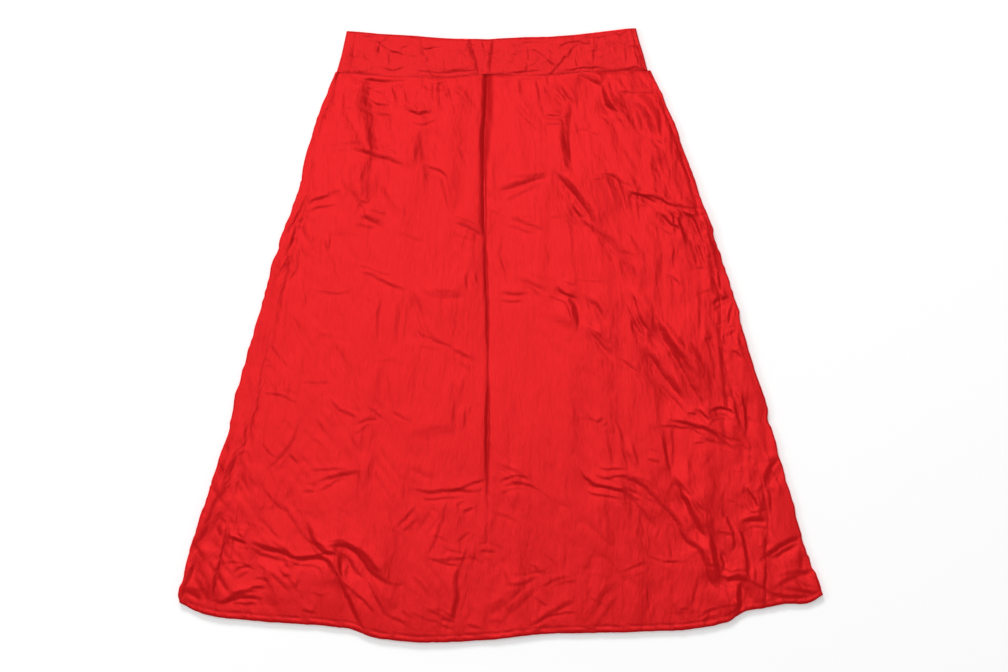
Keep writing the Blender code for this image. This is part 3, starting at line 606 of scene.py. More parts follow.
# The centre seam, which the light catches less and less towards the hem.
# y, depth, width of its left side, width of its right side
CENTRE_SECTIONS = [
    (330, 2.3, 3.2, 4.5),
    (250, 2.3, 3.2, 6.5),
    (200, 2.2, 3.0, 2.6),
    (150, 1.9, 3.0, 1.8),
    (100, 1.1, 2.3, 1.6),
    (50, 1.5, 2.2, 1.6),
    (0, 0.9, 2.0, 1.6),
    (-50, 0.8, 2.0, 1.6),
    (-100, 1.1, 1.9, 1.6),
    (-150, 0.9, 1.9, 1.6),
    (-180, 0.5, 1.8, 1.6),
    (-215, 0.2, 1.6, 1.6),
    (-250, 0.1, 1.6, 1.6),
    (-380, 0.1, 1.6, 1.6),
]
SEAM_DEPTH, SEAM_LEFT_WIDTH, SEAM_RIGHT_WIDTH = (line_of(CENTRE_SECTIONS, column) for column in (1, 2, 3))

# Seams and stitches draw the front's face down, unevenly along their length.
# depth, width, mean share, swing of the share, length of the swings, seed
WAIST_GROOVE = (0.4, 2.0, 0.55, 0.6, 26.0, 72)
SIDE_GROOVE = (0.36, 1.8, 0.5, 0.7, 26.0, 73)
HEM_GROOVE = (0.34, 1.1, 0.7, 0.5, 11.0, 74)
CENTRE_SWINGS = (0.9, 0.3, 40.0, 71)
# height, width, length, seed
STITCH_STRAY = (0.5, 7.0, ONE_WAY, 76)
HEM_GATHER = (0.22, 7.0, 5.0, 77)
GATHER_LEAN = 0.8
HEM_MIDDLE = 4.5        # the turned-up cloth is gathered most at this distance from the edge
HEM_ROUNDING, EDGE_WIDTH = 0.6, 1.0     # how far the hem's folded edge turns down, and over what width
HELD_SHARE = 0.45       # a seam lowers the creases beside it by this share
SEAM_HOLD, WAIST_HOLD = 3.0, 5.0        # and it holds them over these widths
FLATTENING = 2.2        # the larger, the more suddenly a deep trough flattens


def level_groove(x, y, distance, groove, profile):
    """How far a level seam or row of stitches draws the cloth down."""
    depth, width, mean, swing, length, seed = groove
    share = mean + swing * soft_noise(x, y * ACROSS_SHARE, length, ONE_WAY, seed)
    return depth * share * profile(distance, width)


def upright_groove(x, y, distance, groove):
    """How far an upright seam draws the cloth down."""
    depth, width, mean, swing, length, seed = groove
    share = mean + swing * soft_noise(x * ACROSS_SHARE, y, ONE_WAY, length, seed)
    return depth * share * valley(distance, width)


def front_height(x, y):
    """Height of the outer face of the front panels, with seams, hem and creases."""
    from_waist = np.abs(waist_seam(x) - y)
    from_hem = np.abs(y - hem_line(x))
    centre = x - CENTRE_SEAM(y)
    side = np.minimum(np.abs(x - LEFT_SEAM(y)), np.abs(x - RIGHT_SEAM(y)))
    rise = 1 - np.exp(-np.minimum(from_waist, from_hem) / RISE_REACH)
    flat = HEM_TOP + (PANEL_TOP - HEM_TOP) * rise
    seam_width = np.where(centre < 0, SEAM_LEFT_WIDTH(y), SEAM_RIGHT_WIDTH(y))
    flat = flat - upright_groove(x, y, centre, (SEAM_DEPTH(y), seam_width, *CENTRE_SWINGS))
    flat = flat - level_groove(x, y, from_waist, WAIST_GROOVE, valley)
    flat = flat - upright_groove(x, y, side, SIDE_GROOVE)
    from_stitches = from_hem - HEM_DEPTH + STITCH_INSET + wave(x, y * ACROSS_SHARE, STITCH_STRAY)
    flat = flat - level_groove(x, y, from_stitches, HEM_GROOVE, dent)
    gathered = wave(x + GATHER_LEAN * y, y, HEM_GATHER) * dent(from_hem - HEM_MIDDLE, HEM_MIDDLE)
    flat = flat + gathered - HEM_ROUNDING * dent(from_hem, EDGE_WIDTH)
    beside_seam = dent(np.minimum(side, np.abs(centre)), SEAM_HOLD)
    hold = np.clip(beside_seam + dent(from_waist, WAIST_HOLD), 0.0, 1.0)
    moving = crease_height(x, y, FRONT_CREASES) + waves_height(x, y)
    height = flat + moving * (1 - HELD_SHARE * hold)
    # Below this the cloth meets the back, so a deep trough flattens softly.
    return LOWEST_FRONT + np.logaddexp(0.0, (height - LOWEST_FRONT) * FLATTENING) / FLATTENING


EDGE_ROUNDS = 12        # how often a column's ends are sought again along its slanting line
EDGE_STEPS = (0.0, 0.5, 1.1)    # the first steps in from a seam or an edge are short


def steps_across(length, spacing):
    """Shares of a length, in even steps with short ones at both ends."""
    inner = np.linspace(EDGE_STEPS[-1], length - EDGE_STEPS[-1], int(round(length / spacing)))
    ends = np.array(EDGE_STEPS[:-1])
    return np.concatenate([ends, inner, length - ends[::-1]]) / length


def column_of(line, top, bottom, steps):
    """Points down one line of the cloth, from the edge top(x) to the edge bottom(x)."""
    upper, lower = top(line(0.0)), bottom(line(0.0))
    for _ in range(EDGE_ROUNDS):
        upper = top(line(upper))
        lower = bottom(line(lower))
    y = upper + (lower - upper) * steps
    return line(y), y


def between(left, right, share):
    """The line that lies a share of the way from the left line to the right one."""
    return lambda y: left(y) + (right(y) - left(y)) * share


def moved(line, distance):
    """The same line, moved sideways."""
    return lambda y: line(y) + distance


def flat_grid(lines, top, bottom, steps):
    """The places of a piece's columns of points, as seen from above."""
    columns = [column_of(line, top, bottom, steps) for line in lines]
    return np.array([c[0] for c in columns]), np.array([c[1] for c in columns])


def set_inputs(node, values):
    """Give a node's inputs their values, each by its name or number."""
    for name, value in values.items():
        node.inputs[name].default_value = value


def new_node(tree, kind, inputs=None, **settings):
    """A node of the tree, with its settings and then the values of its inputs."""
    made = tree.nodes.new(kind)
    for name, value in settings.items():
        setattr(made, name, value)
    set_inputs(made, inputs or {})
    return made


def join(tree, rows):
    """Link nodes, by rows of a node, its output, the next node and its input."""
    for source, output, target, given in rows:
        tree.links.new(source.outputs[output], target.inputs[given])


def new_material(name, finish):
    """A material whose shader has the given finish, with its tree and that shader."""
    material = bpy.data.materials.new(name)
    material.use_nodes = True
    shader = material.node_tree.nodes["Principled BSDF"]
    set_inputs(shader, finish)
    return material, material.node_tree, shader


def cloth_pattern(tree, kind, scale, values, turn=0.0):
    """A pattern that follows the cloth, scaled across its warp and along it."""
    cloth = new_node(tree, "ShaderNodeUVMap", uv_map="Cloth")
    place = new_node(tree, "ShaderNodeMapping", {"Scale": (*scale, 1.0), "Rotation": (0.0, 0.0, turn)})
    pattern = new_node(tree, kind, values)
    join(tree, [(cloth, "UV", place, "Vector"), (place, "Vector", pattern, "Vector")])
    return pattern


# How many times each pattern repeats in a metre of cloth, across the warp and along it
STREAK_SCALE = (520.0, 9.0)
MOTTLE_SCALE = (34.0, 13.0)
RUMPLE_SCALE = (210.0, 62.0)
WEAVE_COUNT, WEAVE_STRETCH, WEAVE_TURN = 520.0, 0.42, 1.1
STREAK_SHARE = 0.55     # the rest of the colour's change comes from its mottling
WEAVE_SHARE = 0.35      # height of the weave in the finest relief, where the streaks have 1
ROUGHNESS_SWING = 0.05
SATIN_RELIEF = {"Strength": 0.35, "Distance": 0.00012}
RUMPLE_RELIEF = {"Strength": 1.0, "Distance": 0.00028}
SATIN_FINISH = {
    "Metallic": 0.45,
    "Specular IOR Level": 0.25,
    "Specular Tint": (1.0, 0.95, 0.95, 1.0),
    "Sheen Weight": 0.03,
    "Sheen Roughness": 0.35,
    "Sheen Tint": (1.0, 0.25, 0.22, 1.0),
}


def satin_material(name, colour, light_colour, roughness):
    """Satin: smooth red threads, fine streaks down the warp, and a tight, faint weave."""
    material, tree, shader = new_material(name, SATIN_FINISH)
    streaks = cloth_pattern(tree, "ShaderNodeTexNoise", STREAK_SCALE,
                            {"Scale": 1.0, "Detail": 3.0, "Roughness": 0.6})
    mottle = cloth_pattern(tree, "ShaderNodeTexNoise", MOTTLE_SCALE, {"Scale": 1.0, "Detail": 2.0})
    mottle_part = new_node(tree, "ShaderNodeMath", {1: 1 - STREAK_SHARE}, operation="MULTIPLY")
    mixture = new_node(tree, "ShaderNodeMath", {1: STREAK_SHARE}, operation="MULTIPLY_ADD")
    blend = new_node(tree, "ShaderNodeMix", {"A": (*colour, 1.0), "B": (*light_colour, 1.0)},
                     data_type="RGBA")
    gloss = new_node(tree, "ShaderNodeMapRange", {"To Min": roughness - ROUGHNESS_SWING,
                                                  "To Max": roughness + ROUGHNESS_SWING})
    join(tree, [(mottle, "Fac", mottle_part, 0), (streaks, "Fac", mixture, 0),
                (mottle_part, "Value", mixture, 2), (mixture, "Value", blend, "Factor"),
                (blend, "Result", shader, "Base Color"), (streaks, "Fac", gloss, "Value"),
                (gloss, "Result", shader, "Roughness")])

    weave = cloth_pattern(tree, "ShaderNodeTexWave", (1.0, WEAVE_STRETCH),
                          {"Scale": WEAVE_COUNT, "Distortion": 0.8, "Detail": 1.0}, WEAVE_TURN)
    rumple = cloth_pattern(tree, "ShaderNodeTexNoise", RUMPLE_SCALE,
                           {"Scale": 1.0, "Detail": 2.5, "Roughness": 0.55, "Distortion": 0.35})
    threads = new_node(tree, "ShaderNodeMath", {1: WEAVE_SHARE}, operation="MULTIPLY_ADD")
    rumpled = new_node(tree, "ShaderNodeBump", RUMPLE_RELIEF)
    woven = new_node(tree, "ShaderNodeBump", SATIN_RELIEF)
    join(tree, [(weave, "Fac", threads, 0), (streaks, "Fac", threads, 2),
                (rumple, "Fac", rumpled, "Height"), (rumpled, "Normal", woven, "Normal"),
                (threads, "Value", woven, "Height"), (woven, "Normal", shader, "Normal")])
    return material


# Name, its deeper and its lighter red, roughness
satin = satin_material("Red_satin_cloth", (0.64, 0.0028, 0.0050), (0.72, 0.0042, 0.0072), 0.32)

SHARP_EDGE = 60.0       # degrees past which the shading breaks at an edge


def new_object(name, data):
    """An object of the scene for a mesh, a light or a camera."""
    made = bpy.data.objects.new(name, data)
    bpy.context.scene.collection.objects.link(made)
    return made


def edge_strip(fine, coarse, step):
    """Triangles between a border of the outer face and the same border of the coarser inner one."""
    faces = []
    for i in range(len(coarse) - 1):
        group = fine[i * step:(i + 1) * step + 1]
        middle = len(group) // 2
        for j in range(len(group) - 1):
            tip = coarse[i] if j < middle else coarse[i + 1]
            faces.append((group[j + 1], group[j], tip))
        faces.append((group[middle], coarse[i], coarse[i + 1]))
    return faces


def cloth_piece(name, grid, inner, step, material):
    """A closed thin shell: a fine outer face, a coarser inner face, and a strip round its edge.

    The grid's columns run from left to right and its rows from top to bottom as its outer face
    is looked at, and the inner face keeps every `step`th column and row.
    """
    outer_index = np.arange(grid[:, :, 0].size).reshape(grid.shape[:2])
    inner_index = outer_index.size + np.arange(inner[:, :, 0].size).reshape(inner.shape[:2])

    def quads(index, flip):
        a, b = index[:-1, :-1].ravel(), index[:-1, 1:].ravel()
        c, d = index[1:, 1:].ravel(), index[1:, :-1].ravel()
        return np.stack([d, c, b, a] if flip else [a, b, c, d], axis=1)

    faces = np.concatenate([quads(outer_index, False), quads(inner_index, True)]).tolist()
    borders = [
        (outer_index[:, 0], inner_index[:, 0]),
        (outer_index[-1, :], inner_index[-1, :]),
        (outer_index[::-1, -1], inner_index[::-1, -1]),
        (outer_index[0, ::-1], inner_index[0, ::-1]),
    ]
    for fine, coarse in borders:
        faces += [tuple(face[::-1]) for face in edge_strip(fine.tolist(), coarse.tolist(), step)]
    mesh = bpy.data.meshes.new(name)
    points = np.concatenate([grid.reshape(-1, 3), inner.reshape(-1, 3)]) * MM
    mesh.from_pydata(points.tolist(), [], faces)
    mesh.shade_smooth()
    mesh.set_sharp_from_angle(angle=math.radians(SHARP_EDGE))
    mesh.materials.append(material)
    add_cloth_uv(mesh, grid, inner, step)
    return new_object(name, mesh)


def add_cloth_uv(mesh, grid, inner, step):
    """A UV map in metres that follows the cloth, so that streaks and weave go round its folds."""
    across = np.linalg.norm(np.diff(grid, axis=0), axis=2)
    u = np.concatenate([np.zeros((1, grid.shape[1])), np.cumsum(across, axis=0)])
    u = u - u[len(u) // 2]
    place = np.stack([u, grid[:, :, 1]], axis=2)
    both = np.concatenate([place.reshape(-1, 2), place[::step, ::step].reshape(-1, 2)]) * MM
    corners = np.zeros(len(mesh.loops), dtype=np.int32)
    mesh.loops.foreach_get("vertex_index", corners)
    layer = mesh.uv_layers.new(name="Cloth")
    layer.uv.foreach_set("vector", both[corners].astype(np.float32).ravel())


def lowest_around(height, reach):
    """The lowest height within `reach` grid steps of each point."""
    low = height.copy()
    for axis in (0, 1):
        best = low.copy()
        for shift in range(1, reach + 1):
            ahead, behind = np.roll(low, shift, axis), np.roll(low, -shift, axis)
            index = [slice(None)] * 2
            index[axis] = slice(0, shift)
            ahead[tuple(index)] = low[tuple(index)]
            index[axis] = slice(-shift, None)
            behind[tuple(index)] = low[tuple(index)]
            best = np.minimum(best, np.minimum(ahead, behind))
        low = best
    return low


def trimmed(steps, step):
    """The same shares, with one or more of the middle ones dropped so that `step` divides them."""
    extra = (len(steps) - 1) % step
    middle = len(steps) // 2
    return np.delete(steps, range(middle, middle + extra))


INNER_STEP = 4          # the inner face keeps every fourth column and row


def front_piece(name, left, right, width, top, bottom, length, spacing, height, wall, material):
    """A piece of the front between two seams: fine above, and plain on the side nobody sees."""
    left, right = moved(left, SEAM_GAP / 2), moved(right, -SEAM_GAP / 2)
    shares = trimmed(steps_across(width, spacing), INNER_STEP)
    steps = trimmed(steps_across(length, spacing), INNER_STEP)
    x, y = flat_grid([between(left, right, share) for share in shares], top, bottom, steps)
    z = height(x, y)
    grid = np.stack([x, y, z], axis=2)
    inner = grid[::INNER_STEP, ::INNER_STEP].copy()
    inner[:, :, 2] = lowest_around(z, INNER_STEP)[::INNER_STEP, ::INNER_STEP] - wall
    return cloth_piece(name, grid, inner, INNER_STEP, material)


PANEL_SPACING = 1.55
SEAM_PUCKERS = []
for seam, foot, seed, reach in [(LEFT_SEAM, -330.0, 21, 7.0), (CENTRE_SEAM, -360.0, 22, 4.0),
                                (RIGHT_SEAM, -330.0, 23, 7.0)]:
    SEAM_PUCKERS += seam_puckers(seam, foot, seed, reach)

# The creases of the right half, with the deep ones below its hip and at its foot.
# depth, width, spread, the points that it runs through
RIGHT_CREASES = [
    # Under the waist seam
    (-1.0, 2.4, .3, [(14, 320), (35, 318), (60, 319)]),
    (-.9, 2.4, .3, [(80, 322), (105, 323)]),
    (-1.0, 4, .3, [(-13, 312), (5, 311), (22, 316)]),
    (-.9, 2.6, .3, [(134, 317), (150, 321), (161, 317)]),
    (-.8, 2.6, .1, [(25, 320), (27, 298)]),
    (-.8, 2.8, .2, [(45, 320), (51, 288)]),
    (-.9, 3, .3, [(11, 286), (22, 275), (46, 251)]),
    (-.8, 3, .3, [(37, 291), (49, 268)]),
    (-1.3, 2.2, .2, [(52, 262), (66, 261), (81, 261)]),
    (-1.8, 3.0, .2, [(70, 315), (76, 302), (84, 292), (90, 284)]),
    (-2.2, 5.0, .2, [(89, 284), (87, 262), (86, 240), (88, 222), (92, 202)]),
    (.9, 5, .1, [(90, 296), (95, 276), (91, 252)]),
    (-.8, 3, .3, [(89, 251), (100, 255), (122, 247)]),
    (-.6, 4, .1, [(57, 252), (60, 220), (59, 205), (76, 200)]),
    (-1.4, 3.0, .3, [(0, 180), (18, 184), (36, 190), (58, 197)]),
    (-3.6, 4.8, .2, [(69, 198), (84, 182), (94, 170), (104, 157), (112, 142), (120, 130)]),
    (1.3, 9, .3, [(90, 166), (104, 142), (114, 124)]),
    (-2.2, 4.8, .2, [(118, 131), (132, 118), (141, 106), (150, 94), (158, 76), (166, 56)]),
    (-2.9, 4.0, .3, [(96, 322), (108, 317), (126, 311)]),
    (-2.7, 3.4, .2, [(126, 314), (127, 300), (131, 288), (140, 278)]),
    (-.9, 2.8, .3, [(129, 286), (151, 274)]),
    (-.8, 2.6, .3, [(124, 273), (141, 261)]),
    (-.6, 4, .2, [(140, 256), (150, 225), (153, 203)]),
    (-1.2, 3, .2, [(149, 320), (161, 298)]),
    (-1.2, 1.6, .3, [(150, 301), (175, 299), (201, 300)]),
    (-1.5, 6.5, .2, [(121, 305), (134, 271), (150, 241), (164, 216)]),
    (-2.4, 6.4, .2, [(149, 300), (162, 289), (174, 272), (182, 252), (188, 232), (196, 208),
                     (205, 188), (213, 172)]),
    (1.8, 9, .2, [(184, 290), (200, 258), (206, 225), (216, 196)]),
    (-.8, 2.4, .2, [(194, 241), (201, 236)]),
    (-1.1, 3.8, .2, [(201, 224), (210, 208)]),
    (-1.5, 2.2, .3, [(121, 200), (145, 192), (150, 180), (153, 166), (157, 148)]),
    (-.7, 3, .3, [(-13, 156), (-4, 149)]),
    (-1.3, 2.6, .3, [(10, 146), (30, 138), (54, 128)]),
    (-.8, 3.6, .2, [(3, 117), (0, 100), (10, 76)]),
    (-.6, 2.6, .2, [(1, 96), (11, 60)]),
    (-1.3, 2.8, .3, [(24, 68), (40, 62), (58, 54)]),
    (-1.2, 2.2, .2, [(0, 51), (16, 49.5), (32, 51)]),
    (-.7, 2.6, .2, [(57, 114), (66, 88)]),
    (-1.2, 1.7, .1, [(73, 188), (76, 168), (80, 152), (87, 142), (103, 134)]),
    (-.7, 2.4, .2, [(64, 145), (73, 144)]),
    (-.7, 2.8, .3, [(117, 101), (134, 89)]),
    (-1.4, 1.9, .2, [(69, 60), (80, 51), (93, 47)]),
    (-1.8, 3.0, .1, [(87, 50), (93, 38), (97, 26), (98, 10)]),
    (-1.4, 3.2, .2, [(103, 49), (116, 36), (126, 24), (133, 9)]),
    (-1.4, 3.4, .3, [(107, 9), (118, -6), (130, -18), (144, -28)]),
    (-.9, 1.8, .2, [(146, -28), (166, -44), (184, -62)]),
    (.9, 8, .2, [(60, 30), (84, 20), (96, -8)]),
    (1.6, 14, .1, [(120, 278), (150, 236), (168, 196)]),
    # Right hip
    (-1.9, 1.6, .2, [(157, 179), (163, 175), (172, 173), (182, 169.5), (191, 165), (196, 162)]),
    (-1.6, 1.6, .2, [(176, 174), (188, 171.5), (200, 166), (210, 161.5), (220, 160)]),
    (-1.8, 1.5, .2, [(193, 155), (199, 149), (206, 141), (213, 137), (223, 131)]),
    (-.9, 5, .2, [(196, 160), (207, 154), (216, 149)]),
    (2.2, 2.2, .2, [(217, 168), (224, 163.5), (232, 161.5), (242, 161), (254, 161)]),
    (2.6, 2.0, .1, [(221, 162), (232, 153), (240, 148), (248, 138), (252, 128), (256, 118), (258, 108),
                    (262, 95), (268, 82)]),
    (-1.8, 2.0, .1, [(231, 151), (239, 141), (243, 131), (247, 122), (251, 110), (254, 97), (258, 90)]),
    (-1.6, 1.4, .1, [(221, 150), (224, 138), (227, 129), (230, 113)]),
    (-.9, 1.3, .1, [(215, 107), (216, 88)]),
    (-.9, 1.3, .1, [(221, 102), (230, 89)]),
    (-1.0, 1.2, .2, [(233, 94), (241, 85), (256, 84)]),
    (-1.2, 1.1, .1, [(261, 100), (265, 87), (272, 79)]),
    (-.9, 4.5, .1, [(200, 128), (201, 90), (202, 60), (204, 25)]),
    (-.7, 3.8, .1, [(152, 106), (155, 84), (160, 66)]),
    (-.9, 1.3, .2, [(203, 77), (214, 70), (221, 63), (223, 50)]),
    (-.8, 1.6, .1, [(247, 62), (248, 30), (249, 4)]),
    (-1.9, 2.2, .3, [(262, 38), (272, 42.5), (284, 47)]),
    (-1.2, 1.4, .1, [(271, 80), (273, 66), (273, 52)]),
    (-1.3, 1.5, .1, [(288, 42), (286, 28), (282, 10)]),
    (-.9, 1.2, .2, [(268, 11), (279, 18)]),
    (-1.2, 1.4, .2, [(280, -1), (285, 1), (293, 5)]),
    (-.8, 1.3, .2, [(270, -8), (280, -10)]),
    (-.8, 1.3, .2, [(253, -8), (262, -3)]),
    (-1.1, 1.2, .1, [(264, 0), (265, -12), (270, -18)]),
    (-.8, 1.4, .1, [(269, -8), (274, -20), (276, -40), (276, -56)]),
    (-1.3, 1.4, .2, [(286, -20), (292, -21), (299, -28)]),
    (-1.3, 1.4, .1, [(297, 4), (298, -8), (303, -18)]),
    # The pair of long folds below the right hip
    (-1.7, 2.0, .1, [(159, 53), (165, 42), (170, 30), (176, 17), (184, 3)]),
    (-1.4, 1.8, .1, [(155, 43), (160, 26), (167, 12), (174, 1), (184, -12)]),
    (-3.9, 4.8, .1, [(175, -12), (184, -27), (192, -39), (201, -52), (211, -65), (221, -76), (231, -89)]),
    (-3.8, 4.4, .1, [(190, 25), (196, 9), (202, -4), (209, -17), (217, -32), (227, -49), (236, -63),
                     (244, -77), (251, -92)]),
    (-1.6, 6, .1, [(214, -14), (226, -34), (238, -56)]),
    # Right middle
    (-1.3, 1.6, .2, [(272, -65), (281, -74), (288, -86), (292, -96)]),
    (-1.4, 1.3, .2, [(260, -96), (268, -91), (280, -93), (290, -98)]),
    (-1.5, 1.4, .1, [(300, -73), (303, -93), (305, -110), (304, -124)]),
    (-1.4, 1.3, .2, [(244, -90), (251, -98), (259, -107)]),
    (-1.0, 1.2, .2, [(231, -97), (246, -99)]),
    (-2.0, 2.0, .2, [(211, -107), (226, -109), (240, -114), (256, -118), (266, -124), (276, -134),
                     (286, -140)]),
    (-1.2, 1.2, .2, [(268, -116), (278, -127), (290, -131)]),
    (-1.2, 1.3, .2, [(281, -119), (296, -134), (310, -147)]),
    (-1.0, 1.1, .2, [(242, -133.5), (254, -133.5)]),
    (-.9, 3, .2, [(102, -90), (118, -122)]),
    (-.9, 2.4, .3, [(119, -109), (129, -102)]),
    (-.8, 1.5, .1, [(133, -110), (136, -140), (140, -164)]),
    (-1.3, 1.9, .1, [(143, -98), (153, -130), (155, -150), (160, -170)]),
    (-1.1, 1.7, .1, [(162, -128), (168, -145), (172, -162)]),
    (-1.36, 1.6, .1, [(202, -122), (206, -145), (210, -162), (214, -174)]),
    (-.7, 1.5, .2, [(180, -153), (197, -158)]),
    (-.6, 1.1, .1, [(284, -167), (284, -186)]),
    (-1.34, 2.6, .2, [(-2, -160), (10, -168), (22, -174), (37, -183)]),
    (-1.34, 1.8, .3, [(4, -187), (20, -185), (32, -187), (45, -192)]),
    # Foot of the right half
    (-1.4, 1.6, .2, [(98, -168), (104, -178), (114, -185), (130, -190), (148, -194), (158, -198)]),
    (-1.8, 3.4, .3, [(150, -196), (163, -206), (174, -218), (185, -234)]),
    (-1.3, 1.6, .2, [(116, -172), (126, -179), (142, -177), (158, -176)]),
    (-1.7, 3.0, .3, [(150, -177), (166, -183), (180, -192), (192, -203), (205, -215)]),
    (-2.1, 2.4, .1, [(211, -172), (217, -186), (226, -204), (237, -221)]),
    (-.6, 1.4, .1, [(226, -214), (231, -224)]),
    (-2.7, 3.6, .1, [(202, -212), (212, -226), (220, -240), (230, -254), (243, -265)]),
    (-2.9, 3.4, .1, [(238, -257), (248, -270), (252, -285), (256, -300), (264, -313)]),
    (-3.3, 3.8, .1, [(221, -198), (229, -213), (237, -227), (246, -241), (257, -254)]),
    (-2.9, 3.6, .1, [(260, -246), (266, -260), (268, -280), (275, -300)]),
    (-1.3, 1.6, .2, [(268, -299), (282, -304), (297, -300)]),
    (-1.5, 1.5, .1, [(272, -268), (276, -282), (277, -296)]),
    (-2.3, 2.2, .1, [(300, -304), (300, -322), (297, -342)]),
    (-1.8, 3.0, .2, [(345, -150), (338, -166), (330, -183)]),
    (-1.0, 1.3, .1, [(275, -268), (280, -282), (284, -296)]),
    (-.9, 1.3, .1, [(280, -268), (287, -284), (290, -297)]),
    (-1.7, 1.6, .1, [(278, -219), (285, -232), (289, -245), (291, -258), (288, -270)]),
    (-2.0, 1.7, .1, [(293, -238), (300, -249), (304, -263), (307, -280), (309, -300)]),
    (-1.5, 2.4, .2, [(279, -306), (292, -305), (305, -304)]),
    (3.0, 3.4, .2, [(291, -306), (293, -320), (292, -335), (290, -350)]),
    (-1.9, 1.7, .1, [(303, -188), (310, -200), (320, -217)]),
    (-1.8, 2.4, .2, [(300, -230), (313, -230), (327, -229)]),
    (-1.2, 1.4, .1, [(333, -185), (336, -202), (338, -220)]),
    (-1.0, 1.3, .1, [(331, -170), (340, -182), (343, -200)]),
    (-.8, 1.3, .1, [(327, -186), (320, -196)]),
    (-.9, 1.6, .2, [(330, -159), (341, -150)]),
    (-.8, 2, .1, [(325, -238), (328, -257)]),
    (-2.1, 2.4, .3, [(323, -278), (334, -273), (350, -261), (372, -252)]),
    (-1.0, 2, .1, [(327, -280), (331, -294), (332, -312)]),
    (-1.2, 2, .1, [(372, -260), (374, -292)]),
    (-1.6, 2.4, .2, [(377, -270), (382, -282), (389, -295)]),
    (-1.2, 2.2, .3, [(389, -292), (360, -302), (341, -314)]),
    (-1.2, 2, .3, [(360, -311), (385, -321), (396, -320)]),
    (-1.0, 1.8, .3, [(334, -321), (356, -325), (382, -325)]),
    (-.8, 1.4, .1, [(184, -314), (183, -340)]),
    (-.9, 2.6, .2, [(210, -322), (215, -336), (219, -350)]),
    (-.9, 1.4, .1, [(245, -304), (241, -320), (236, -337)]),
    (-.7, 1.2, .2, [(222, -339), (236, -340)]),
    (-.9, 3.8, .2, [(141, -309), (131, -324), (121, -340), (108, -357)]),
    (-.9, 1.6, .1, [(140, -281), (146, -292), (150, -306)]),
    (-.6, 1.1, .3, [(152, -294), (165, -289), (180, -282)]),
    (-.6, 1.1, .3, [(203, -283), (222, -281)]),
    (-1.0, 4.4, .2, [(131, -203), (143, -222), (153, -240), (162, -252)]),
    (-.7, 2, .1, [(166, -250), (174, -262), (180, -279)]),
    (-.6, 3.8, .1, [(163, -260), (166, -278)]),
    (-.7, 2.4, .1, [(238, -148), (234, -170), (236, -190), (241, -212)]),
    (-.7, 1.2, .2, [(273, -338), (257, -343), (245, -351)]),
    (-.7, 1.5, .1, [(204, -232), (213, -238)]),
    # Foot beside the centre seam
    (-.8, 1.2, .2, [(-26, -267), (-7, -269)]),
    (-.9, 6, .1, [(-2, -198), (-5, -240), (-8, -282)]),
    (-.7, 3, .3, [(6, -310), (25, -309), (50, -299)]),
    (-1.3, 5.5, .2, [(-15, -348), (4, -336), (20, -322), (36, -307)]),
    (.6, 6, .2, [(4, -350), (28, -334), (54, -316)]),
    (-1.0, 3, .2, [(37, -284), (51, -298)]),
    (-.7, 3, .3, [(51, -313), (75, -302), (87, -299)]),
    (-1.2, 2.6, .3, [(54, -349), (75, -338), (92, -329)]),
    (-1.0, 3, .3, [(38, -359), (62, -349)]),
]
RIGHT_CREASES = softened(RIGHT_CREASES) + companions(RIGHT_CREASES, seed=13)
FRONT_CREASES = prepared(LEFT_CREASES + RIGHT_CREASES + STREWN_CREASES + SEAM_PUCKERS)

FRONT_LENGTH = 706.0
LEFT_WIDTH = 262.0      # the left half's mean width, which sets how many columns it has

front_left = front_piece("front_left_satin", LEFT_SEAM, CENTRE_SEAM, LEFT_WIDTH, below_waist_seam,
                         hem_line, FRONT_LENGTH, PANEL_SPACING, front_height, SATIN_WALL, satin)
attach(front_left, "root")
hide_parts("front_left_panel")

# Front right panel
# The other half of the front, from the centre seam to the right side seam, in the same satin.
# It has the deeper creases, below its hip and at its foot.

RIGHT_WIDTH = 288.0

front_right = front_piece("front_right_satin", CENTRE_SEAM, RIGHT_SEAM, RIGHT_WIDTH, below_waist_seam,
                          hem_line, FRONT_LENGTH, PANEL_SPACING, front_height, SATIN_WALL, satin)
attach(front_right, "root")
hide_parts("front_right_panel")

# Back panel
# One piece of the same satin that lies underneath. It rolls round both side folds and comes up
# onto the front, where it is sewn to the front panels at the side seams.

ROLL_HALF = 3.0         # half the height of a side fold
ROLL_WAVE = (0.22, 40.0, 34.0, 31)      # height, width, length, seed
ROLLS_APART = 50.0      # the two side folds read the random waves this far apart
ROLL_WIDTH = 1.7        # how far a side fold bulges sideways
ROLL_COLUMNS = 8
UNDERSIDE_COLUMNS = 34
FLAP_COLUMNS = (24, 32)     # from the left fold to its side seam, and from the right one to its own
FLAP_EASE = 11.0        # over this width the cloth comes down from the fold to the front
RIM_SHARE = 0.55        # how much of a crease runs up onto the side fold
BACK_LENGTH = 700.0
BACK_SPACING = 2.0
HEM_LIFT, HEM_LIFT_WIDTH = 0.5, 1.6     # the stitches lift the back's face along their groove
UNDERSIDE_WAVES = 0.5   # share of the front's waves that the back has
RESTING_HEIGHT = 0.35   # creases and waves lower than this rest flat on the surface

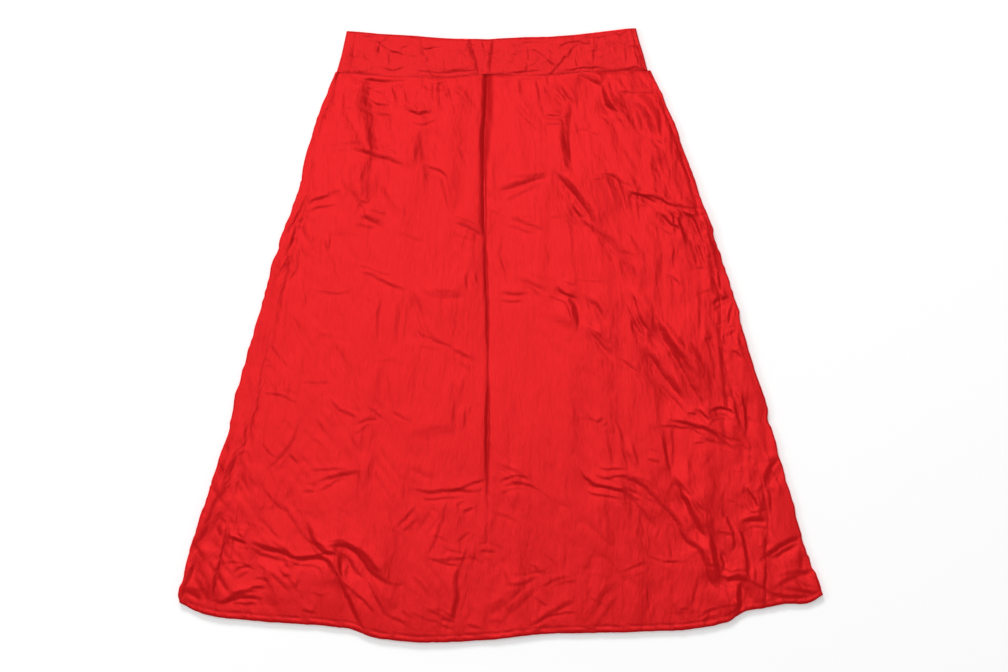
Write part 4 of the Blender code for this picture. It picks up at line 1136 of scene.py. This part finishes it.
# Shallow creases that the hidden back has of its own, where it lifts off what it lies on.
# depth, width, spread, the points that it runs through
BACK_CREASES = [
    (1.2, 10, .2, [(-150, 250), (-120, 180), (-110, 120)]),
    (1.0, 9, .2, [(60, 290), (90, 220), (150, 170)]),
    (1.3, 11, .3, [(-220, 40), (-160, 10), (-90, 20)]),
    (1.1, 9, .2, [(120, 60), (180, 0), (220, -80)]),
    (1.2, 10, .3, [(-60, -60), (0, -90), (80, -80)]),
    (1.4, 11, .2, [(-290, -180), (-230, -220), (-150, -230)]),
    (1.1, 9, .2, [(160, -170), (200, -240), (260, -290)]),
    (1.2, 10, .3, [(-110, -280), (-30, -300), (50, -280)]),
    (1.0, 8, .1, [(-190, -90), (-180, -150), (-200, -200)]),
    (1.0, 8, .1, [(250, 60), (262, 0), (250, -70)]),
]
BACK_CREASES = prepared(BACK_CREASES)


def underside_height(x, y):
    """The back lies flat on its surface, apart from a few shallow creases and the hem's groove."""
    groove = HEM_LIFT * dent(np.abs(y - hem_line(x)) - HEM_DEPTH + STITCH_INSET, HEM_LIFT_WIDTH)
    lifted = crease_height(x, y, BACK_CREASES) + UNDERSIDE_WAVES * waves_height(x, y) - RESTING_HEIGHT
    return np.maximum(np.maximum(lifted, 0.0), groove)


def roll_half(y, side):
    """Half the height of a side fold, uneven down its length."""
    return ROLL_HALF + wave(side * ROLLS_APART + 0 * y, y, ROLL_WAVE)


def wrapped_piece(name, folds, seams, top, bottom, length, spacing, front, under, flaps, wall, material):
    """A piece of the back: flap, side fold, underside, side fold and flap, from seam to seam."""
    inner_folds = [moved(folds[0], ROLL_WIDTH), moved(folds[1], -ROLL_WIDTH)]
    turn = np.linspace(math.pi / 2, -math.pi / 2, ROLL_COLUMNS + 1)[1:]
    halves, half_kinds = [], []
    for side in (0, 1):
        outwards = 2 * side - 1
        edge = moved(seams[side], outwards * SEAM_GAP / 2)
        flap = [between(inner_folds[side], edge, share)
                for share in np.linspace(0.0, 1.0, flaps[side] + 1)]
        roll = [moved(inner_folds[side], outwards * ROLL_WIDTH * math.cos(angle)) for angle in turn]
        halves.append(flap[::-1] + roll)
        half_kinds.append([("flap", side)] * len(flap) + [("roll", side, angle) for angle in turn])
    shares = np.linspace(0.0, 1.0, UNDERSIDE_COLUMNS + 1)[1:-1]
    underside = [between(inner_folds[1], inner_folds[0], share) for share in shares]
    lines = halves[1] + underside + halves[0][::-1]
    kinds = half_kinds[1] + [("under",)] * len(underside) + half_kinds[0][::-1]

    x, y = flat_grid(lines, top, bottom, steps_across(length, spacing))
    z = np.zeros(x.shape)
    under_rows = np.array([kind[0] == "under" for kind in kinds])
    z[under_rows] = under(x[under_rows], y[under_rows])
    for side in (0, 1):
        rows = np.array([kind == ("flap", side) for kind in kinds])
        flap_x, flap_y = x[rows], y[rows]
        fold_x = inner_folds[side](flap_y)
        width = np.abs(seams[side](flap_y) - fold_x)
        ease = eased(np.abs(flap_x - fold_x) / np.minimum(width, FLAP_EASE))
        crown = 2 * roll_half(flap_y, side)
        level = front(flap_x, flap_y)
        z[rows] = crown + (level - crown) * ease + RIM_SHARE * (level - PANEL_TOP) * (1 - ease)
        rim = RIM_SHARE * (front(inner_folds[side](y[0]), y[0]) - PANEL_TOP)
        for i, kind in enumerate(kinds):
            if kind[:2] == ("roll", side):
                up = (1 + math.sin(kind[2])) / 2
                z[i] = 2 * roll_half(y[i], side) * up + rim * eased(up)
    grid = np.stack([x, y, z], axis=2)
    normal = np.cross(np.gradient(grid, axis=0), np.gradient(grid, axis=1))
    normal /= np.maximum(np.linalg.norm(normal, axis=2, keepdims=True), 1e-9)
    return cloth_piece(name, grid, grid + normal * wall, 1, material)


back = wrapped_piece("back_satin", [LEFT_FOLD, RIGHT_FOLD], [LEFT_SEAM, RIGHT_SEAM], below_waist_seam,
                     hem_line, BACK_LENGTH, BACK_SPACING, front_height, underside_height, FLAP_COLUMNS,
                     SATIN_WALL, satin)
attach(back, "root")
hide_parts("back_panel")

# Hem stitches
# A row of short stitches in red thread that holds the hem turned up, all round the skirt. They
# lie one after another in the hem's groove, above and below.

STITCH_PITCH = 2.9
STITCH_LENGTH = 2.1
THREAD_WIDTH = 0.42
THREAD_LIFT = 0.2       # share of its width by which a stitch's middle stands off the cloth
LOWEST_STITCH = 0.3     # so that the stitches below stay clear of what the skirt lies on
STITCH_STEP = 2.0       # the stitched line is followed in steps of this length
STITCH_END = 9.0        # the outermost stitches lie this far in from the ends of the hem
SEARCH_HEIGHT = 40.0    # the cloth is looked for from this far above and below
STITCH_SIDES, STITCH_RINGS = 6, 4
STITCH_UNEVEN = ((0.85, 0.85, 0.8), (1.1, 1.1, 1.1))    # smallest and largest shares of its sizes
STITCH_SEED = 7


def surface_of(pieces):
    """The faces of the pieces in one search tree, for finding how high the cloth lies."""
    corners, faces = [], []
    for piece in pieces:
        start = len(corners)
        corners += [vertex.co.copy() for vertex in piece.data.vertices]
        faces += [[start + corner for corner in polygon.vertices] for polygon in piece.data.polygons]
    return BVHTree.FromPolygons(corners, faces)


def stitched_line(surface, side):
    """Points along the hem's stitches, on the cloth's upper side (1) or its lower one (-1)."""
    points = []
    for x in np.arange(HEM_LINE[0][0] + STITCH_END, HEM_LINE[-1][0] - STITCH_END, STITCH_STEP):
        y = float(hem_line(x)) + HEM_DEPTH - STITCH_INSET
        start = Vector((x, y, side * SEARCH_HEIGHT)) * MM
        hit = surface.ray_cast(start, Vector((0.0, 0.0, -side)))[0]
        if hit is not None:
            height = max(hit.z / MM + side * THREAD_WIDTH * THREAD_LIFT, LOWEST_STITCH)
            points.append((x * MM, y * MM, height * MM))
    return points


def stitch_nodes(material):
    """A tree that lays short rounded stitches along an edge path."""
    tree = bpy.data.node_groups.new("Hem_stitch_row", "GeometryNodeTree")
    tree.interface.new_socket("Path", in_out="INPUT", socket_type="NodeSocketGeometry")
    for socket_name in ("Pitch", "Stitch length", "Thread width"):
        tree.interface.new_socket(socket_name, in_out="INPUT", socket_type="NodeSocketFloat")
    tree.interface.new_socket("Stitches", in_out="OUTPUT", socket_type="NodeSocketGeometry")

    given = new_node(tree, "NodeGroupInput")
    result = new_node(tree, "NodeGroupOutput")
    to_curve = new_node(tree, "GeometryNodeMeshToCurve")
    resample = new_node(tree, "GeometryNodeResampleCurve", mode="LENGTH")
    ball = new_node(tree, "GeometryNodeMeshUVSphere",
                    {"Segments": STITCH_SIDES, "Rings": STITCH_RINGS, "Radius": 0.5})
    size = new_node(tree, "ShaderNodeCombineXYZ")
    stitch = new_node(tree, "GeometryNodeTransform")
    rounded = new_node(tree, "GeometryNodeSetShadeSmooth")
    tangent = new_node(tree, "GeometryNodeInputTangent")
    turn = new_node(tree, "FunctionNodeAlignRotationToVector", axis="X")
    uneven = new_node(tree, "FunctionNodeRandomValue",
                      {0: STITCH_UNEVEN[0], 1: STITCH_UNEVEN[1], "Seed": STITCH_SEED},
                      data_type="FLOAT_VECTOR")
    placed = new_node(tree, "GeometryNodeInstanceOnPoints")
    realized = new_node(tree, "GeometryNodeRealizeInstances")
    painted = new_node(tree, "GeometryNodeSetMaterial", {"Material": material})
    join(tree, [(given, "Path", to_curve, "Mesh"), (to_curve, "Curve", resample, "Curve"),
                (given, "Pitch", resample, "Length"), (given, "Stitch length", size, "X"),
                (given, "Thread width", size, "Y"), (given, "Thread width", size, "Z"),
                (ball, "Mesh", stitch, "Geometry"), (size, "Vector", stitch, "Scale"),
                (stitch, "Geometry", rounded, "Geometry"), (tangent, "Tangent", turn, "Vector"),
                (resample, "Curve", placed, "Points"), (rounded, "Geometry", placed, "Instance"),
                (turn, "Rotation", placed, "Rotation"), (uneven, 0, placed, "Scale"),
                (placed, "Instances", realized, "Geometry"), (realized, "Geometry", painted, "Geometry"),
                (painted, "Geometry", result, "Stitches")])
    return tree


def thread_material():
    """Twisted thread: a little lighter and darker along its length, with a fine ribbed bump."""
    material, tree, shader = new_material("Red_thread", {"Roughness": 0.55})
    place = new_node(tree, "ShaderNodeTexCoord")
    shade = new_node(tree, "ShaderNodeTexNoise", {"Scale": 700.0})
    blend = new_node(tree, "ShaderNodeMix", {"A": (0.50, 0.0040, 0.0065, 1.0),
                                             "B": (0.66, 0.0060, 0.0095, 1.0)}, data_type="RGBA")
    ribs = new_node(tree, "ShaderNodeTexWave", {"Scale": 900.0})
    bump = new_node(tree, "ShaderNodeBump", {"Distance": 0.00005})
    join(tree, [(place, "Object", shade, "Vector"), (place, "Object", ribs, "Vector"),
                (shade, "Fac", blend, "Factor"), (blend, "Result", shader, "Base Color"),
                (ribs, "Fac", bump, "Height"), (bump, "Normal", shader, "Normal")])
    return material


hem_surface = surface_of([front_left, front_right, back])
path_points, path_edges = [], []
for side in (1, -1):
    row = stitched_line(hem_surface, side)
    path_edges += [(len(path_points) + i, len(path_points) + i + 1) for i in range(len(row) - 1)]
    path_points += row
path_mesh = bpy.data.meshes.new("hem_stitches")
path_mesh.from_pydata(path_points, path_edges, [])
hem_stitches = new_object("hem_stitches", path_mesh)
stitch_row = hem_stitches.modifiers.new("Stitches", "NODES")
stitch_row.node_group = stitch_nodes(thread_material())
stitch_sizes = {"Pitch": STITCH_PITCH, "Stitch length": STITCH_LENGTH, "Thread width": THREAD_WIDTH}
for socket in stitch_row.node_group.interface.items_tree:
    if socket.name in stitch_sizes:
        stitch_row[socket.identifier] = stitch_sizes[socket.name] * MM
depsgraph = bpy.context.evaluated_depsgraph_get()
stitch_mesh = bpy.data.meshes.new_from_object(hem_stitches.evaluated_get(depsgraph), depsgraph=depsgraph)
hem_stitches.modifiers.remove(stitch_row)
hem_stitches.data = stitch_mesh
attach(hem_stitches, "root")

# Waistband
# A straight band of the same satin, doubled over a light stiffener and about 50 mm deep. Its
# front and back are sewn to the panels at the waist seam and to each other at the sides.

BAND_WALL = 1.2
BAND_TOP_FACE = 5.6     # height of the band's face where it lies plain
LOWEST_BAND = 3.2
BAND_DEPTH = 49.0
BAND_WIDTH = 350.0
BAND_SPACING = 0.95
BAND_FLAP_COLUMNS = (12, 8)
BAND_TOP_ROUNDING = (0.65, 1.2)     # how far the folded top turns down, and over what width
BAND_SIDE_GROOVE = (0.2, 1.4)
BAND_HELD_SHARE, BAND_HOLD = 0.4, 2.0   # how much the waist seam lowers its creases, and how far from it
# depth, width, mean share, swing of the share, length of the swings, seed
BAND_WAIST_GROOVE = (0.5, 2.4, 0.6, 0.7, 34.0, 72)
# height, width, length, seed
BAND_WAVES = [(0.3, 38.0, 30.0, 44), (0.14, 13.0, 5.0, 45), (0.04, 6.0, 2.4, 47)]
BAND_TOP_WAVE = (0.35, 15.0, ONE_WAY, 46)

# y, left fold, left seam, right seam, right fold
BAND_SECTIONS = [
    (382, -190.0, -179.0, 162.5, 168.0),
    (366, -193.5, -181.0, 166.5, 172.0),
    (350, -197.0, -183.0, 171.5, 177.0),
    (325, -204.0, -188.0, 178.0, 183.5),
]

# x, y along the top of the band
BAND_TOP = [(-190, 377.5), (-105, 371.5), (-30, 367.7), (29, 370.0), (89, 372.6), (133, 377.6),
            (162, 380.8), (169, 380.8)]

# depth, width, spread, the points that it runs through
BAND_CREASES = [
    (-1.0, 3, .3, [(-194, 353), (-184, 343), (-176, 345)]),
    (-.8, 2.4, .3, [(-164, 366), (-150, 361), (-141, 366), (-139, 373)]),
    (-.8, 2.2, 0, [(-137, 374), (-136, 360)]),
    (-1.2, 2.6, .2, [(-148, 362), (-153, 344)]),
    (-.9, 2.4, .2, [(-142, 353), (-128, 348), (-116, 342)]),
    (-1.2, 2.8, .3, [(-144, 331), (-134, 327.5), (-121, 331)]),
    (-1.2, 6, .3, [(-98, 371), (-96, 355), (-90, 335)]),
    (.8, 5, 0, [(-88, 362), (-84, 344)]),
    (-.7, 1.8, 0, [(-53, 358), (-48, 346)]),
    (-.7, 1.8, 0, [(-49, 357), (-43, 342)]),
    (-1.5, 3.4, .2, [(-38, 370), (-33, 350), (-30, 340), (-26, 321)]),
    (-.9, 2.4, 0, [(-22, 348), (-22, 324)]),
    (-1.3, 3, .2, [(-8, 370), (-11, 350), (-14, 321)]),
    (.9, 4, 0, [(-26, 366), (-22, 346), (-20, 330)]),
    (-1.0, 2.6, .3, [(71, 354), (80, 361), (95, 364), (110, 359)]),
    (-.9, 2.4, 0, [(117, 369), (116, 343)]),
    (-.7, 2.0, 0, [(121, 368), (119, 353)]),
    (-.8, 2.2, .2, [(120, 362), (132, 350)]),
    (-1.2, 2.6, .3, [(138, 378), (154, 366)]),
    (-1.0, 2.4, .3, [(140, 370), (155, 358)]),
    (-1.0, 2.4, .3, [(136, 367), (155, 351)]),
    (-.9, 2.2, .2, [(158, 359), (173, 357)]),
    (-1.2, 3.2, .3, [(33, 357), (45, 350), (60, 337), (70, 328)]),
    (-.9, 2.0, .3, [(93, 357), (80, 345), (68, 330)]),
    (-1.2, 2.4, .2, [(71, 334), (61, 320), (54, 308)]),
    (-.9, 2.4, .3, [(150, 334), (160, 329), (165, 333), (174, 330)]),
    (-1.2, 2.9, .2, [(-106, 328), (-88, 325), (-70, 324.5), (-50, 327), (-28, 329)]),
    (.7, 2.6, .2, [(-98, 335), (-70, 331), (-36, 335)]),
    (-1.2, 2.6, .2, [(12, 325), (30, 326), (52, 327)]),
    (-1.1, 2.2, .2, [(78, 329), (100, 331), (128, 332)]),
]

BAND_STREWN_ACROSS, BAND_STREWN_HEIGHTS = (-195.0, 170.0), (328.0, 374.0)
BAND_STREWN_LENGTHS = (8.0, 30.0)
BAND_STREWN_ANGLES, BAND_STREWN_TURN = [-1.2, 0.1], 0.3     # radians
BAND_STREWN_DEPTHS = (-0.36, 0.28)
BAND_STREWN_WIDTHS = (0.5, 1.1)
BAND_STREWN_SPREAD = 0.1
STIFF_DEPTH = 1.25      # what the stiffener leaves of creases shallower than this, and of deeper ones
STIFF_SHARES = (0.5, 0.75)


def small_band_creases(count, seed):
    """Short, fine creases strewn over the band."""
    random = np.random.default_rng(seed)
    creases = []
    for _ in range(count):
        x, y = random.uniform(*BAND_STREWN_ACROSS), random.uniform(*BAND_STREWN_HEIGHTS)
        length = random.uniform(*BAND_STREWN_LENGTHS)
        angle = random.choice(BAND_STREWN_ANGLES) + random.normal(0.0, BAND_STREWN_TURN)
        end = (x + length * math.cos(angle), y + length * math.sin(angle))
        creases.append((random.uniform(*BAND_STREWN_DEPTHS), random.uniform(*BAND_STREWN_WIDTHS),
                        BAND_STREWN_SPREAD, [(x, y), end]))
    return creases


def finer(creases):
    """The band's creases made lower and thinner, because its stiffener holds it flat."""
    finer_ones = []
    for depth, width, spread, points in creases:
        share = STIFF_SHARES[1] if abs(depth) > STIFF_DEPTH else STIFF_SHARES[0]
        finer_ones.append((depth * share, width * share, spread, points))
    return finer_ones


BAND_CREASES = prepared(finer(BAND_CREASES) + small_band_creases(count=230, seed=41))

BAND_LEFT_FOLD, BAND_LEFT_SEAM, BAND_RIGHT_SEAM, BAND_RIGHT_FOLD = (
    line_of(BAND_SECTIONS, column) for column in range(1, 5))


def band_top(x):
    """The folded upper edge of the band."""
    return smooth(BAND_TOP, x) + wave(x, 0 * x, BAND_TOP_WAVE)


def above_waist_seam(x):
    """The lower edge of the band."""
    return waist_seam(x) + WAIST_GAP / 2


def band_height(x, y):
    """Height of the band's outer face, rounded over at its folded top and at its seams."""
    from_top = np.abs(band_top(x) - y)
    from_waist = np.abs(y - waist_seam(x))
    side = np.minimum(np.abs(x - BAND_LEFT_SEAM(y)), np.abs(x - BAND_RIGHT_SEAM(y)))
    flat = BAND_TOP_FACE
    for size in BAND_WAVES:
        flat = flat + wave(x, y, size)
    flat = flat - BAND_TOP_ROUNDING[0] * dent(from_top, BAND_TOP_ROUNDING[1])
    flat = flat - level_groove(x, y, from_waist, BAND_WAIST_GROOVE, valley)
    flat = flat - BAND_SIDE_GROOVE[0] * valley(side, BAND_SIDE_GROOVE[1])
    moving = crease_height(x, y, BAND_CREASES)
    return np.maximum(flat + moving * (1 - BAND_HELD_SHARE * dent(from_waist, BAND_HOLD)), LOWEST_BAND)


def band_underside(x, y):
    """The back of the band lies flat on its surface."""
    return 0 * x


# Name, its deeper and its lighter red, roughness. The band is the same satin as the panels, and its reds
# are a little darker only as painted shade.
shaded_band_satin = satin_material("Red_satin_band_shaded", (0.62, 0.0034, 0.0056), (0.70, 0.0048, 0.0080), 0.33)
band_front = front_piece("waistband_front_satin", BAND_LEFT_SEAM, BAND_RIGHT_SEAM, BAND_WIDTH, band_top,
                         above_waist_seam, BAND_DEPTH, BAND_SPACING, band_height, BAND_WALL, shaded_band_satin)
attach(band_front, "root")
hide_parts("waistband_front")

band_back = wrapped_piece("waistband_back_satin", [BAND_LEFT_FOLD, BAND_RIGHT_FOLD],
                          [BAND_LEFT_SEAM, BAND_RIGHT_SEAM], band_top, above_waist_seam, BAND_DEPTH,
                          BAND_SPACING, band_height, band_underside, BAND_FLAP_COLUMNS, BAND_WALL,
                          shaded_band_satin)
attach(band_back, "root")
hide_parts("waistband_back")

# Floor, light and camera
# A plain white floor with a faint glow, even white light all round, and three broad soft lights:
# one low from beyond the waist, one from the left and one nearly overhead. The camera looks
# straight down.

WHITE = (1.0, 1.0, 1.0, 1.0)
FLOOR_HALF = 6.0
FLOOR_LEVEL = -0.0004   # just under the garment, so that the two don't share a plane
FLOOR_FINISH = {
    "Base Color": (0.97, 0.97, 0.97, 1.0),
    "Roughness": 0.9,
    "Specular IOR Level": 0.1,
    "Emission Color": WHITE,
    "Emission Strength": 0.23,
}
SKY_STRENGTH = 0.30

floor_mesh = bpy.data.meshes.new("floor")
floor_corners = [(FLOOR_HALF * x, FLOOR_HALF * y, FLOOR_LEVEL)
                 for x, y in [(-1, -1), (1, -1), (1, 1), (-1, 1)]]
floor_mesh.from_pydata(floor_corners, [], [(0, 1, 2, 3)])
floor_mesh.materials.append(new_material("White_floor", FLOOR_FINISH)[0])
floor = new_object("floor", floor_mesh)

world = bpy.data.worlds.new("studio")
bpy.context.scene.world = world
world.use_nodes = True
set_inputs(world.node_tree.nodes["Background"], {"Color": WHITE, "Strength": SKY_STRENGTH})

# name, direction that it comes from, elevation in degrees, distance, width, height, power
SOFT_LIGHTS = [
    ("waist_light", (-0.22, 0.975), 29.0, 8.0, 3.4, 1.8, 348.0),
    ("left_light", (-0.95, 0.31), 32.0, 8.0, 3.4, 2.2, 118.0),
    ("overhead_light", (-0.5, 0.866), 82.5, 8.0, 3.8, 3.8, 111.5),
]
for name, (to_x, to_y), elevation, distance, width, height, power in SOFT_LIGHTS:
    light_data = bpy.data.lights.new(name, "AREA")
    light_data.shape = "RECTANGLE"
    light_data.size, light_data.size_y = width, height
    light_data.energy = power
    light = new_object(name, light_data)
    level, rise = math.cos(math.radians(elevation)), math.sin(math.radians(elevation))
    light.location = (distance * level * to_x, distance * level * to_y, distance * rise)
    light.rotation_euler = (-light.location).to_track_quat("-Z", "Y").to_euler()

CAMERA_HEIGHT = 6.0
VIEW_WIDTH = 1.25       # what the frame spans across the garment
VIEW_CENTRE = (0.0043, -0.0006)
SENSOR_WIDTH = 36.0
camera_data = bpy.data.cameras.new("camera")
camera_data.sensor_width = SENSOR_WIDTH
camera_data.lens = SENSOR_WIDTH * (CAMERA_HEIGHT - PANEL_TOP * MM) / VIEW_WIDTH
camera = new_object("camera", camera_data)
camera.location = (*VIEW_CENTRE, CAMERA_HEIGHT)
bpy.context.scene.camera = camera
bpy.context.scene.view_settings.view_transform = "Standard"
